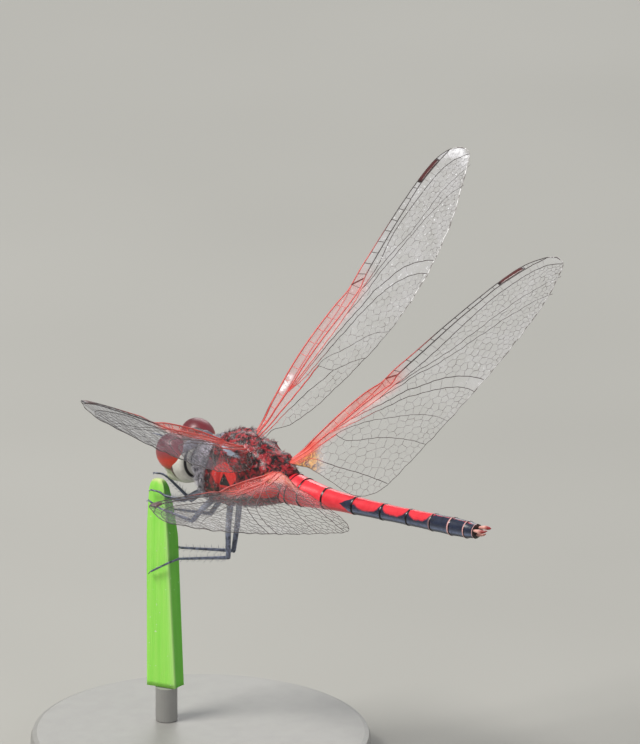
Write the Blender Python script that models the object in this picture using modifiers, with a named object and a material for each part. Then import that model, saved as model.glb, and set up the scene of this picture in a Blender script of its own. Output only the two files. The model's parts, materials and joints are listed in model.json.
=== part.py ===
"""A male red-veined dropwing dragonfly at life size, perched on a cut length of
stem that a plain display stand holds up.

World frame: metres, +Z up, origin at the middle of the base's underside.
Body frame: +X to the insect's left, +Y towards its tail, +Z out of its back,
with the abdomen's axis along Y. One empty places that frame in the world."""

import math

import bmesh
import bpy
from mathutils import Matrix, Vector

MM = 0.001
GAP = 0.06 * MM                  # clearance kept between neighbouring pieces

# The stand: a round base and one short rod.
BASE_RADIUS = 14.0 * MM
BASE_THICKNESS = 3.0 * MM
BASE_EDGE = 0.5 * MM
ROD_RADIUS = 0.9 * MM
ROD_LENGTH = 3.0 * MM

# The perch: a keeled stem that widens downwards.
PERCH_PLACE = Vector((0.2, -4.25)) * MM
PERCH_BOTTOM = BASE_THICKNESS + ROD_LENGTH
PERCH_TOP = 24.1 * MM
PERCH_TURN = math.radians(134.5)  # heading of the side that carries no keel

# How the body sits in the world.
BODY_PLACE = Vector((-0.8, 5.5, 26.2)) * MM
BODY_PITCH = math.radians(4.7)   # tail up
BODY_ROLL = math.radians(11.5)   # right side up

# Head, in the body frame.
EYE_CENTRE = Vector((1.45, -7.45, 1.95)) * MM
EYE_RADII = Vector((1.40, 1.55, 1.62)) * MM
HEAD_CENTRE = Vector((0.0, -6.75, 1.15)) * MM
HEAD_RADII = Vector((2.6, 1.35, 2.2)) * MM
HEAD_BACK = -5.75 * MM
FRONS_CENTRE = Vector((0.0, -8.5, 1.75)) * MM
FRONS_RADII = Vector((1.0, 0.95, 1.0)) * MM
MOUTH_CENTRE = Vector((0.0, -8.75, -0.1)) * MM
MOUTH_RADII = Vector((1.45, 1.1, 1.1)) * MM
CHIN_CENTRE = Vector((0.0, -7.65, -0.55)) * MM
CHIN_RADII = Vector((1.45, 1.45, 0.8)) * MM
FEELER_THICKNESS = 0.5 * MM
FEELER_ROOT = Vector((0.42, -9.28, 2.45)) * MM
FEELER_KNEE = Vector((0.60, -9.62, 2.70)) * MM
FEELER_TIP = Vector((0.95, -10.25, 2.95)) * MM

# Neck and prothorax, in the body frame.
NECK_RADIUS = 0.5 * MM
NECK_HEIGHT = 1.1 * MM
PROTHORAX_CENTRE = Vector((0.0, -5.3, 0.6)) * MM
PROTHORAX_RADII = Vector((1.35, 0.36, 1.35)) * MM

# Thorax: place of each ring on the axis, its top, bottom and half width, and how
# far it leans back for each unit of height above the middle line.
THORAX_MIDDLE = 0.9 * MM
THORAX_FULLNESS = 0.75
THORAX_RINGS = (
    (-5.35, 2.25, -0.3, 1.1, 0.05),
    (-5.05, 2.8, -1.1, 1.7, 0.15),
    (-4.25, 3.4, -1.7, 2.1, 0.30),
    (-2.95, 4.0, -2.1, 2.25, 0.40),
    (-1.3, 4.2, -2.3, 2.3, 0.45),
    (0.3, 3.65, -2.2, 2.25, 0.45),
    (1.9, 2.9, -1.95, 2.1, 0.45),
    (3.2, 2.2, -1.6, 1.75, 0.45),
    (4.3, 1.6, -1.3, 1.3, 0.45),
)

# Abdomen: where each segment ends on the axis, its half thickness there, the
# height of the axis and the lean of the joint. The first row is the front.
ABDOMEN_JOINTS = (
    (4.0, 1.28, 0.05, 0.45),
    (4.6, 1.32, 0.0, 0.30),
    (5.9, 1.20, -0.08, 0.10),
    (8.4, 0.90, -0.16, 0.0),
    (11.75, 0.76, -0.20, 0.0),
    (14.97, 0.70, -0.18, 0.0),
    (17.97, 0.70, -0.12, 0.0),
    (20.7, 0.74, -0.07, 0.0),
    (22.9, 0.77, -0.04, 0.0),
    (24.6, 0.72, -0.02, 0.0),
    (25.5, 0.60, 0.0, 0.0),
)
JOINT_FLARE = 1.05               # a segment's rear rim against its waist
CERCUS_LENGTH = 1.45 * MM
CERCUS_THICKNESS = 0.5 * MM

# Wings: lengths, and outlines in shares of the length, leading edge first.
WING_THICKNESS = 0.5 * MM
FOREWING_LENGTH = 29.0 * MM
HINDWING_LENGTH = 27.3 * MM
FOREWING_ROOT = Vector((1.5, 0.0, 4.1)) * MM
HINDWING_ROOT = Vector((1.6, 3.6, 2.22)) * MM
FOREWING_OUTLINE = (
    (-0.02, -0.006), (0.20, 0.0), (0.487, -0.003), (0.70, 0.003), (0.834, -0.002),
    (0.918, -0.018), (0.975, -0.065), (0.990, -0.105), (0.972, -0.140),
    (0.865, -0.185), (0.776, -0.215), (0.658, -0.241), (0.572, -0.250),
    (0.454, -0.247), (0.330, -0.225), (0.158, -0.170), (0.060, -0.120),
    (0.015, -0.070), (-0.02, -0.055),
)
HINDWING_OUTLINE = (
    (-0.015, -0.012), (0.16, -0.012), (0.385, -0.018), (0.60, -0.010), (0.801, -0.021),
    (0.900, -0.044), (0.980, -0.109), (0.993, -0.146), (0.972, -0.180),
    (0.840, -0.247), (0.651, -0.296), (0.450, -0.335), (0.290, -0.356),
    (0.160, -0.366), (0.100, -0.356), (0.060, -0.310), (0.050, -0.20),
    (0.032, -0.100), (-0.015, -0.065),
)
# Each wing: sweep back, rise and nose-up turn about its span, in degrees.
WING_POSES = {
    "forewing_left": (16.7, 35.5, 30.9),
    "forewing_right": (13.4, 36.7, 4.3),
    "hindwing_left": (19.8, 22.3, 24.5),
    "hindwing_right": (23.5, 23.3, 8.3),
}

# Legs: hips in the body frame, the other joints in the world frame measured
# from BODY_PLACE. The feet grip the perch.
FEMUR_RADIUS = 0.30 * MM
TIBIA_RADIUS = 0.25 * MM
TARSUS_RADIUS = 0.25 * MM
JOINT_SETBACK = 0.30 * MM
HIPS = {"fore": (0.6, -5.0, -1.25), "mid": (0.85, -4.2, -1.8), "hind": (0.6, -2.9, -2.2)}
LEG_JOINTS = {
    "fore_leg_left": ((1.1, -7.2, -3.3), (1.6, -8.75, -3.2), (1.95, -9.9, -2.9)),
    "fore_leg_right": ((-0.55, -7.9, -3.9), (0.6, -9.45, -2.0), (1.3, -10.1, -1.62)),
    "mid_leg_left": ((2.0, -5.3, -4.4), (1.72, -8.7, -4.4), (2.05, -10.1, -3.9)),
    "mid_leg_right": ((-1.5, -6.6, -5.0), (-0.15, -8.95, -4.9), (-0.1, -10.3, -5.5)),
    "hind_leg_left": ((0.3, -2.8, -7.4), (0.35, -8.45, -8.95), (1.97, -10.0, -10.0)),
    "hind_leg_right": ((-1.0, -3.46, -7.3), (-0.05, -8.5, -8.1), (-0.62, -9.7, -8.7)),
}
TARSUS_BENDS = {"hind_leg_left": (1.62, -8.45, -9.0), "mid_leg_left": (1.85, -9.2, -4.3)}


# ---------------------------------------------------------------- scene set-up

def clear_scene():
    """Remove the objects the file starts with."""
    for obj in list(bpy.data.objects):
        bpy.data.objects.remove(obj, do_unlink=True)


def make_collection(name, hidden=False):
    collection = bpy.data.collections.new(name)
    collection.hide_render = hidden
    bpy.context.scene.collection.children.link(collection)
    return collection


def make_material(name, colour, roughness=0.45, metallic=0.0):
    material = bpy.data.materials.new(name)
    material.use_nodes = True
    shader = material.node_tree.nodes["Principled BSDF"]
    shader.inputs["Base Color"].default_value = (*colour, 1.0)
    shader.inputs["Roughness"].default_value = roughness
    shader.inputs["Metallic"].default_value = metallic
    material.diffuse_color = (*colour, 1.0)
    return material


def make_materials():
    """One plain colour for each kind of surface."""
    return {
        "eye": make_material("eye_red", (0.45, 0.05, 0.03), 0.2),
        "head": make_material("head_pale", (0.62, 0.58, 0.50)),
        "face": make_material("face_tan", (0.55, 0.36, 0.24)),
        "thorax": make_material("thorax_red", (0.32, 0.04, 0.05)),
        "red": make_material("abdomen_red", (0.62, 0.04, 0.04), 0.35),
        "black": make_material("abdomen_black", (0.03, 0.035, 0.06), 0.35),
        "pink": make_material("tail_pink", (0.72, 0.33, 0.30)),
        "leg": make_material("leg_black", (0.03, 0.03, 0.04)),
        "wing": make_material("wing_film", (0.72, 0.68, 0.68), 0.15),
        "stem": make_material("stem_green", (0.22, 0.62, 0.09), 0.4),
        "stand": make_material("stand_grey", (0.20, 0.20, 0.21), 0.5),
    }


def add_object(name, data, material, collection, parent=None, place=Vector()):
    obj = bpy.data.objects.new(name, data)
    collection.objects.link(obj)
    obj.location = place
    obj.parent = parent
    if material:
        data.materials.append(material)
    return obj


# -------------------------------------------------------------- shape makers

def mesh_of(name, shape, smooth_angle=40.0):
    """Turn a bmesh into a smooth-shaded mesh whose faces point outwards."""
    bmesh.ops.recalc_face_normals(shape, faces=shape.faces)
    mesh = bpy.data.meshes.new(name)
    shape.to_mesh(mesh)
    shape.free()
    mesh.shade_smooth()
    mesh.set_sharp_from_angle(angle=math.radians(smooth_angle))
    return mesh


def ellipsoid(radii, across=20, along=12):
    """A round body about its own centre, with its poles up and down."""
    shape = bmesh.new()
    bmesh.ops.create_uvsphere(shape, u_segments=across, v_segments=along, radius=1.0)
    bmesh.ops.scale(shape, vec=radii, verts=shape.verts)
    return shape


def loft(rings):
    """Join rings of equally many points, and close both ends."""
    shape = bmesh.new()
    corners = [[shape.verts.new(point) for point in ring] for ring in rings]
    count = len(rings[0])
    for near, far in zip(corners, corners[1:]):
        for i in range(count):
            j = (i + 1) % count
            shape.faces.new((near[i], near[j], far[j], far[i]))
    shape.faces.new(corners[0])
    shape.faces.new(corners[-1])
    return shape


def body_ring(place, top, bottom, half_width, lean, middle, fullness, sides):
    """One leaning ring: egg-shaped, fuller towards its top as fullness falls."""
    centre = (top + bottom) / 2
    half_height = (top - bottom) / 2
    ring = []
    for i in range(sides):
        angle = 2 * math.pi * (i + 0.5) / sides
        side = math.copysign(abs(math.sin(angle)) ** fullness, math.sin(angle))
        height = centre + half_height * math.cos(angle)
        ring.append(Vector((half_width * side, place + lean * (height - middle), height)))
    return ring


def tube(name, points, radii, material, collection, parent):
    """A tapering tube with closed ends along a few points."""
    curve = bpy.data.curves.new(name, "CURVE")
    curve.dimensions = "3D"
    curve.bevel_depth = max(radii)
    curve.bevel_resolution = 2
    curve.use_fill_caps = True
    spline = curve.splines.new("POLY")
    spline.points.add(len(points) - 1)
    for spot, point, radius in zip(spline.points, points, radii):
        spot.co = (*(point - points[0]), 1.0)
        spot.radius = radius / max(radii)
    return add_object(name, curve, material, collection, parent, points[0])


def as_mesh(obj):
    """Replace a curve object by its welded mesh, in the same place."""
    graph = bpy.context.evaluated_depsgraph_get()
    mesh = bpy.data.meshes.new_from_object(obj.evaluated_get(graph))
    shape = bmesh.new()
    shape.from_mesh(mesh)
    bmesh.ops.remove_doubles(shape, verts=shape.verts, dist=0.002 * MM)
    bmesh.ops.recalc_face_normals(shape, faces=shape.faces)
    shape.to_mesh(mesh)
    shape.free()
    name = obj.name
    solid = bpy.data.objects.new(name + "_solid", mesh)
    obj.users_collection[0].objects.link(solid)
    solid.parent = obj.parent
    solid.location = obj.location
    solid.rotation_euler = obj.rotation_euler
    bpy.data.objects.remove(obj, do_unlink=True)
    solid.name = name
    return solid


def cut(obj, cutter):
    """Take the cutter's volume out of the object."""
    modifier = obj.modifiers.new("cut_" + cutter.name, "BOOLEAN")
    modifier.operation = "DIFFERENCE"
    modifier.solver = "EXACT"
    modifier.object = cutter


def hide_cutter(obj):
    obj.hide_render = True
    obj.display_type = "WIRE"
    return obj


# -------------------------------------------------------------------- stand

def make_stand(parts, looks):
    disc = bmesh.new()
    bmesh.ops.create_cone(
        disc, cap_ends=True, segments=64, radius1=BASE_RADIUS, radius2=BASE_RADIUS,
        depth=BASE_THICKNESS,
    )
    place = Vector((0, 0, BASE_THICKNESS / 2))
    base = add_object("stand_base", mesh_of("stand_base", disc), looks["stand"], parts, place=place)
    edge = base.modifiers.new("soft_edge", "BEVEL")
    edge.width = BASE_EDGE
    edge.segments = 2
    edge.limit_method = "ANGLE"
    rod = bmesh.new()
    bmesh.ops.create_cone(
        rod, cap_ends=True, segments=24, radius1=ROD_RADIUS, radius2=ROD_RADIUS,
        depth=ROD_LENGTH - 2 * GAP,
    )
    place = Vector((*PERCH_PLACE, BASE_THICKNESS + ROD_LENGTH / 2))
    place += perch_side(0.35 * MM, 0.1 * MM)
    add_object("stand_rod", mesh_of("stand_rod", rod), looks["stand"], parts, place=place)


# -------------------------------------------------------------------- perch

def perch_side(across, forward):
    """A step across the stem's broad face and out towards its keel."""
    right = Vector((math.cos(PERCH_TURN), math.sin(PERCH_TURN), 0))
    out = Vector((math.sin(PERCH_TURN), -math.cos(PERCH_TURN), 0))
    return right * across + out * forward


def perch_ring(depth, swell):
    """The stem's section at a depth below the tip: a rounded kite."""
    widening = min(1.0, depth / (5.0 * MM)) ** 0.6
    slow = depth / (18.0 * MM)
    left = -(0.95 + 0.36 * widening) * MM
    right = (0.30 + 0.88 * widening + 0.62 * slow) * MM
    keel = (0.10 + 0.10 * widening + 0.85 * slow) * MM
    front = (0.55 + 0.30 * widening + 0.12 * slow) * MM
    back = -(0.50 + 0.25 * widening + 0.25 * slow) * MM
    middle = (left + right) / 2
    corners = ((left, -0.1 * MM), (keel, front), (right, -0.1 * MM), (middle, back))
    ring = []
    for (x0, y0), (x1, y1) in zip(corners, corners[1:] + corners[:1]):
        for share in (0.12, 0.5, 0.88):
            x = x0 + (x1 - x0) * share
            y = y0 + (y1 - y0) * share
            ring.append(perch_side(middle + (x - middle) * swell, y * swell))
    return ring


def make_perch(parts, looks):
    """The stem, from its rounded tip down to the cut end."""
    length = PERCH_TOP - PERCH_BOTTOM
    steps = ((0.0, 0.35), (0.12, 0.62), (0.35, 0.84), (0.8, 1.0))
    rings = [(drop * MM, swell) for drop, swell in steps]
    rings += [(length * share, 1.0) for share in (0.12, 0.25, 0.4, 0.6, 0.8, 1.0)]
    loops = []
    for drop, swell in rings:
        loops.append([point - Vector((0, 0, drop)) for point in perch_ring(drop, swell)])
    place = Vector((*PERCH_PLACE, PERCH_TOP))
    add_object("perch_stem", mesh_of("perch_stem", loft(loops)), looks["stem"], parts, place=place)


# --------------------------------------------------------------------- head

def make_round(name, centre, radii, look, parts, body, across=20, along=12):
    shape = ellipsoid(radii, across, along)
    return add_object(name, mesh_of(name, shape), look, parts, body, centre)


def make_head(parts, cutters, looks, body):
    """Eyes, head, frons, mouthparts and chin. Each gives way to those before it."""
    grown = Vector((GAP, GAP, GAP))
    eye_cutters = []
    for side, sign in (("left", 1), ("right", -1)):
        centre = Vector((sign * EYE_CENTRE.x, EYE_CENTRE.y, EYE_CENTRE.z))
        make_round(f"eye_{side}", centre, EYE_RADII, looks["eye"], parts, body, 24, 14)
        name = f"eye_room_{side}"
        cutter = make_round(name, centre, EYE_RADII + grown, None, cutters, body, 24, 14)
        eye_cutters.append(hide_cutter(cutter))
    pieces = (
        ("head", HEAD_CENTRE, HEAD_RADII, "head"),
        ("frons", FRONS_CENTRE, FRONS_RADII, "face"),
        ("mouthparts", MOUTH_CENTRE, MOUTH_RADII, "face"),
        ("chin", CHIN_CENTRE, CHIN_RADII, "head"),
    )
    earlier = list(eye_cutters)
    for name, centre, radii, look in pieces:
        piece = make_round(name, centre, radii, looks[look], parts, body)
        for cutter in earlier:
            cut(piece, cutter)
        room = make_round(name + "_room", centre, radii + grown, None, cutters, body)
        earlier.append(hide_cutter(room))
    flatten_back(bpy.data.objects["head"])
    for side, sign in (("left", 1), ("right", -1)):
        mirror = Matrix.Diagonal((sign, 1, 1))
        points = [mirror @ point for point in (FEELER_ROOT, FEELER_KNEE, FEELER_TIP)]
        radii = [FEELER_THICKNESS / 2] * 3
        tube(f"antenna_{side}", points, radii, looks["leg"], parts, body)


def flatten_back(head):
    """The back of the head is flat where the neck joins it."""
    shape = bmesh.new()
    shape.from_mesh(head.data)
    plane = Vector((0, HEAD_BACK - HEAD_CENTRE.y, 0))
    everything = shape.verts[:] + shape.edges[:] + shape.faces[:]
    bmesh.ops.bisect_plane(
        shape, geom=everything, plane_co=plane, plane_no=(0, 1, 0), clear_outer=True
    )
    rim = [edge for edge in shape.edges if edge.is_boundary]
    bmesh.ops.contextual_create(shape, geom=rim)
    shape.to_mesh(head.data)
    shape.free()


# ------------------------------------------------------------------- thorax

def thorax_shape(growth=0.0):
    rings = []
    for row in THORAX_RINGS:
        place, top, bottom, half_width = (value * MM for value in row[:4])
        rings.append(body_ring(
            place, top + growth, bottom - growth, half_width + growth,
            row[4], THORAX_MIDDLE, THORAX_FULLNESS, 20,
        ))
    for point in rings[0]:
        point.y -= growth
    for point in rings[-1]:
        point.y += growth
    return loft(rings)


def make_thorax(parts, cutters, looks, body):
    """Thorax, prothorax and neck. Returns the room that the wings keep clear of."""
    add_object("thorax", mesh_of("thorax", thorax_shape()), looks["thorax"], parts, body)
    room = mesh_of("thorax_room", thorax_shape(GAP))
    room = hide_cutter(add_object("thorax_room", room, None, cutters, body))
    collar = make_round(
        "prothorax", PROTHORAX_CENTRE, PROTHORAX_RADII, looks["thorax"], parts, body, 16, 10
    )
    cut(collar, room)
    front = HEAD_BACK + GAP
    back = PROTHORAX_CENTRE.y - PROTHORAX_RADII.y - GAP
    neck = bmesh.new()
    bmesh.ops.create_cone(
        neck, cap_ends=True, segments=16, radius1=NECK_RADIUS, radius2=NECK_RADIUS,
        depth=back - front, matrix=Matrix.Rotation(math.pi / 2, 4, "X"),
    )
    place = Vector((0, (front + back) / 2, NECK_HEIGHT))
    add_object("neck", mesh_of("neck", neck), looks["head"], parts, body, place)
    return room


# ------------------------------------------------------------------ abdomen

def abdomen_segment(front, back):
    """One tergite: a little waisted, and flared at its rear rim."""
    rings = []
    for share, swell in ((0.0, 1.0), (0.3, 0.985), (0.75, 1.0), (1.0, JOINT_FLARE)):
        place, half, height, lean = (a + (b - a) * share for a, b in zip(front, back))
        half *= swell
        inset = GAP / 2 * (1 - 2 * share)
        rings.append(body_ring(
            place * MM + inset, (height + half) * MM, (height - half) * MM,
            half * MM, lean, 0.0, 1.0, 18,
        ))
    return loft(rings)


def make_abdomen(parts, looks, body):
    """Ten segments and the three appendages at the tail."""
    for number, (front, back) in enumerate(zip(ABDOMEN_JOINTS, ABDOMEN_JOINTS[1:]), 1):
        look = looks["red"] if number <= 4 else looks["black"]
        name = f"abdomen_{number}"
        mesh = mesh_of(name, abdomen_segment(front, back))
        add_object(name, mesh, look, parts, body)
    start = ABDOMEN_JOINTS[-1][0] * MM + GAP
    thick = CERCUS_THICKNESS / 2
    for side, sign in (("left", 1), ("right", -1)):
        points = [
            Vector((sign * 0.30 * MM, start, 0.22 * MM)),
            Vector((sign * 0.36 * MM, start + 0.4 * CERCUS_LENGTH, 0.26 * MM)),
            Vector((sign * 0.32 * MM, start + CERCUS_LENGTH, 0.40 * MM)),
        ]
        radii = [thick, thick, thick * 0.4]
        tube(f"cercus_{side}", points, radii, looks["pink"], parts, body)
    points = [
        Vector((0, start, -0.28 * MM)),
        Vector((0, start + 0.7 * CERCUS_LENGTH, -0.18 * MM)),
    ]
    tube("epiproct", points, [thick, thick * 0.6], looks["pink"], parts, body)


# -------------------------------------------------------------------- wings

def wing_axes(side, sweep, rise, turn):
    """The wing's frame in the body: span outwards, then leading edge, then normal."""
    sweep, rise, turn = (math.radians(angle) for angle in (sweep, rise, turn))
    span = Vector((side * math.cos(rise) * math.cos(sweep), math.cos(rise) * math.sin(sweep),
                   math.sin(rise)))
    level = Vector((side * math.sin(sweep), -math.cos(sweep), 0))
    upright = Vector((-side * math.sin(rise) * math.cos(sweep), -math.sin(rise) * math.sin(sweep),
                      math.cos(rise)))
    lead = level * math.cos(turn) + upright * math.sin(turn)
    return Matrix((span, lead, span.cross(lead))).transposed()


def wing_plate(name, outline, length, look, parts):
    """A flat plate with a smooth outline, at the origin."""
    curve = bpy.data.curves.new(name, "CURVE")
    curve.dimensions = "2D"
    curve.fill_mode = "BOTH"
    curve.extrude = WING_THICKNESS / 2
    curve.resolution_u = 4
    spline = curve.splines.new("BEZIER")
    spline.bezier_points.add(len(outline) - 1)
    spline.use_cyclic_u = True
    for spot, (x, y) in zip(spline.bezier_points, outline):
        spot.co = (x * length, y * length, 0)
        spot.handle_left_type = "AUTO"
        spot.handle_right_type = "AUTO"
    return add_object(name, curve, look, parts)


def make_wings(parts, looks, body, thorax_room):
    for name, pose in WING_POSES.items():
        side = 1 if name.endswith("left") else -1
        fore = name.startswith("fore")
        outline = FOREWING_OUTLINE if fore else HINDWING_OUTLINE
        length = FOREWING_LENGTH if fore else HINDWING_LENGTH
        root = (FOREWING_ROOT if fore else HINDWING_ROOT).copy()
        root.x *= side
        plate = as_mesh(wing_plate(name, outline, length, looks["wing"], parts))
        plate.parent = body
        plate.location = root
        plate.rotation_euler = wing_axes(side, *pose).to_euler()
        cut(plate, thorax_room)


# --------------------------------------------------------------------- legs

def shorten(start, end, by_start, by_end):
    """The same line with a length taken off each end."""
    way = (end - start).normalized()
    return start + way * by_start, end - way * by_end


def make_legs(parts, looks, body):
    """Femur, tibia and tarsus of six legs, whose feet hold the perch."""
    turn = body.rotation_euler.to_matrix().transposed()
    for name, joints in LEG_JOINTS.items():
        pair, _, side = name.split("_")
        hip = Vector(HIPS[pair]) * MM
        hip.x *= 1 if side == "left" else -1
        knee, ankle, toe = (turn @ Vector(joint) * MM for joint in joints)
        start, end = shorten(hip, knee, 0.25 * MM, JOINT_SETBACK)
        middle = start.lerp(end, 0.35)
        radii = [FEMUR_RADIUS * 1.25, FEMUR_RADIUS, FEMUR_RADIUS * 0.85]
        tube(f"{name}_femur", [start, middle, end], radii, looks["leg"], parts, body)
        start, end = shorten(knee, ankle, JOINT_SETBACK, JOINT_SETBACK)
        radii = [TIBIA_RADIUS] * 2
        tube(f"{name}_tibia", [start, end], radii, looks["leg"], parts, body)
        path = [ankle, toe]
        if name in TARSUS_BENDS:
            path.insert(1, turn @ Vector(TARSUS_BENDS[name]) * MM)
        tube(f"{name}_tarsus", path, [TARSUS_RADIUS] * len(path), looks["leg"], parts, body)


# --------------------------------------------------------------------- main

def make_body_frame(parts):
    """The empty that carries the whole insect."""
    body = bpy.data.objects.new("dragonfly", None)
    parts.objects.link(body)
    turn = Matrix.Rotation(BODY_PITCH, 3, "X") @ Matrix.Rotation(BODY_ROLL, 3, "Y")
    body.location = BODY_PLACE
    body.rotation_euler = turn.to_euler()
    return body


def main():
    clear_scene()
    parts = make_collection("dragonfly_on_perch")
    cutters = make_collection("cutters", hidden=True)
    looks = make_materials()
    body = make_body_frame(parts)
    make_stand(parts, looks)
    make_perch(parts, looks)
    make_head(parts, cutters, looks, body)
    thorax_room = make_thorax(parts, cutters, looks, body)
    make_abdomen(parts, looks, body)
    make_wings(parts, looks, body, thorax_room)
    make_legs(parts, looks, body)


main()
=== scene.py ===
# %% [markdown]
# # A perched dragonfly, dressed piece by piece
# A museum model of a red dragonfly holds the cut tip of a green stem. The plain solids of its
# parts already have their places and sizes. This lesson loads them as a fixed frame and builds
# the fine surface over each one: clear veined wings, ringed abdomen, downy thorax, big eyes.

# %% Load the frame
import json
import math

import bpy
import numpy as np
from mathutils import Matrix, Vector
from mathutils.geometry import delaunay_2d_cdt

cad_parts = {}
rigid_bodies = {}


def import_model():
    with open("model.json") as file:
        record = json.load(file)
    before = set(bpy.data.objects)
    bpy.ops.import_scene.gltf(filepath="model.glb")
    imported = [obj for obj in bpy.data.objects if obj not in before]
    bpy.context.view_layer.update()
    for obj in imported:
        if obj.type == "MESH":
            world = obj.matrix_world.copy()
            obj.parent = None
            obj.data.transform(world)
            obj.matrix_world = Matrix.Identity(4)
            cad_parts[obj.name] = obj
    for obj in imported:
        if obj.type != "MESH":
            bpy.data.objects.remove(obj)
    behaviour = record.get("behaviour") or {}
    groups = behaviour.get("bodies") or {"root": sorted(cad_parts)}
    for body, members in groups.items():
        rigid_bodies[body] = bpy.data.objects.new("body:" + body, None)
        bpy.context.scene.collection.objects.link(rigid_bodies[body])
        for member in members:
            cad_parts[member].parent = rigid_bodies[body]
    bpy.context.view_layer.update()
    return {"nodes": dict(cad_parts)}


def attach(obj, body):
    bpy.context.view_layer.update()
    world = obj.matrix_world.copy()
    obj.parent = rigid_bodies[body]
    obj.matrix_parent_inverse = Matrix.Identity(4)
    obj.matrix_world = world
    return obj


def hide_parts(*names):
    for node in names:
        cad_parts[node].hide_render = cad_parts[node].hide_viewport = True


for leftover in list(bpy.data.objects):
    bpy.data.objects.remove(leftover)
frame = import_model()

# %% [markdown]
# The insect has its own axes: x to its left, y to its tail, z up, in millimetres. Working in them
# is easier than in the tilted pose, so every shape is made there and turned into place at the end.
# The object's own origin stays at the middle of the stand's underside.

# %% The insect's own axes
MM = 0.001
BODY_PLACE = np.array((-0.8, 5.5, 26.2))
BODY_PITCH, BODY_ROLL = math.radians(4.7), math.radians(11.5)
BODY_TURN = np.array(Matrix.Rotation(BODY_PITCH, 3, "X") @ Matrix.Rotation(BODY_ROLL, 3, "Y"))


def to_world(points):
    """Body millimetres to metres in the object's frame."""
    return (np.asarray(points, float) @ BODY_TURN.T + BODY_PLACE) * MM


def near_body(point):
    """A point given along the world's axes from the body's place, in body millimetres."""
    return np.asarray(point, float) @ BODY_TURN


print("body tilted by", [round(math.degrees(a), 1) for a in (BODY_PITCH, BODY_ROLL)], "degrees")

# %% [markdown]
# A smooth line through a few key points serves for veins, legs, rings and outlines alike. The
# Catmull-Rom rule passes through every key point, which a Bezier curve would only do with handles.

# %% Smooth lines
def smooth_rows(rows, steps, closed=False):
    rows = np.asarray(rows, float)
    first = rows[-1:] if closed else 2 * rows[:1] - rows[1:2]
    last = rows[:2] if closed else 2 * rows[-1:] - rows[-2:-1]
    padded = np.vstack([first, rows, last])
    t = np.linspace(0, 1, steps, endpoint=False)[:, None]
    parts = [0.5 * (2 * b + (c - a) * t + (2 * a - 5 * b + 4 * c - d) * t ** 2
                    + (3 * b - a - 3 * c + d) * t ** 3)
             for a, b, c, d in zip(padded, padded[1:], padded[2:], padded[3:])]
    return np.vstack(parts if closed else parts + [rows[-1:]])


def even_line(points, step):
    """The same line with its points an even step apart."""
    points = np.asarray(points, float)
    run = np.r_[0, np.cumsum(np.linalg.norm(np.diff(points, axis=0), axis=1))]
    at = np.linspace(0, run[-1], max(2, int(round(run[-1] / step)) + 1))
    return np.column_stack([np.interp(at, run, column) for column in points.T])


def looped(line):
    """A closed line with its first point once more at the end."""
    return np.vstack([line, line[:1]])


def y_on(line, x):
    return np.interp(x, line[:, 0], line[:, 1])


def fade(low, high, value):
    """0 below low, 1 above high and a smooth rise between, the other way round if low is the larger."""
    t = np.clip((np.asarray(value, float) - low) / (high - low), 0, 1)
    return t * t * (3 - 2 * t)


def bell(distance, width):
    return np.exp(-(np.asarray(distance, float) / width) ** 2)


def distance_to(points, *centre):
    return np.linalg.norm(points - centre, axis=1)


def unit(vector):
    return vector / np.linalg.norm(vector)


def round_angles(count):
    return 2 * np.pi * np.arange(count) / count


print("4 key points make a ring of", len(smooth_rows(np.eye(4, 2), 8, closed=True)), "points")

# %% [markdown]
# Each finished piece is a plain mesh at the origin. Marks are numbers kept on its points, such as
# how red or how dark a place is, so that a material can follow the body and not the air round it.

# %% Making a piece
LOOKS = {}


def set_mark(mesh, name, values, kind="FLOAT"):
    """Keeps a number, or a direction, on each point."""
    field = "value" if kind == "FLOAT" else "vector"
    mesh.attributes.new(name, kind, "POINT").data.foreach_set(field, np.asarray(values, np.float32).ravel())


def new_object(name, mesh):
    thing = bpy.data.objects.new(name, mesh)
    bpy.context.scene.collection.objects.link(thing)
    return thing


def new_mesh(name, points, edges=(), faces=()):
    mesh = bpy.data.meshes.new(name)
    mesh.from_pydata(np.asarray(points, float).tolist(), list(edges), list(faces))
    return mesh


def add_piece(name, points, faces, look, marks=None, smooth=True):
    """A piece with its points in metres."""
    mesh = new_mesh(name, points, faces=faces)
    for mark, values in (marks or {}).items():
        set_mark(mesh, mark, values)
    mesh.polygons.foreach_set("use_smooth", [smooth] * len(mesh.polygons))
    mesh.materials.append(LOOKS[look])
    return new_object(name, mesh)


def body_piece(name, shape, look, marks=None):
    """A piece from points in body millimetres and faces, which are turned outwards."""
    world = to_world(shape[0])
    return add_piece(name, world, outward(world, shape[1]), look, marks)


def settle(piece, slot, *nodes):
    """The piece rides on the body and stands for these solids, which are hidden. The slot is not used."""
    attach(piece, "root")
    if nodes:
        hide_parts(*nodes)
    piece.data.calc_loop_triangles()
    print(f"{piece.name}: {len(piece.data.loop_triangles)} triangles")
    return piece


# %% [markdown]
# Most bodies here are closed skins lofted from rings of points, because rings are easy to size and
# to shift. Which way the faces look follows from the sign of the volume they close in, so that no
# face has to be turned by hand.

# %% Closed skins
def loft(rings):
    """(points, faces) of a closed skin: quads between rings of as many points, and a fan at each end."""
    rings = np.asarray(rings, float)
    count, around = rings.shape[:2]
    points = np.vstack([rings.reshape(-1, 3), rings[0].mean(0), rings[-1].mean(0)])
    turn = [(c, (c + 1) % around) for c in range(around)]
    last, start = (count - 1) * around, count * around
    faces = [(r + c, r + d, r + around + d, r + around + c) for r in range(0, last, around) for c, d in turn]
    faces += [(start, d, c) for c, d in turn] + [(start + 1, last + c, last + d) for c, d in turn]
    return points, faces


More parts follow.
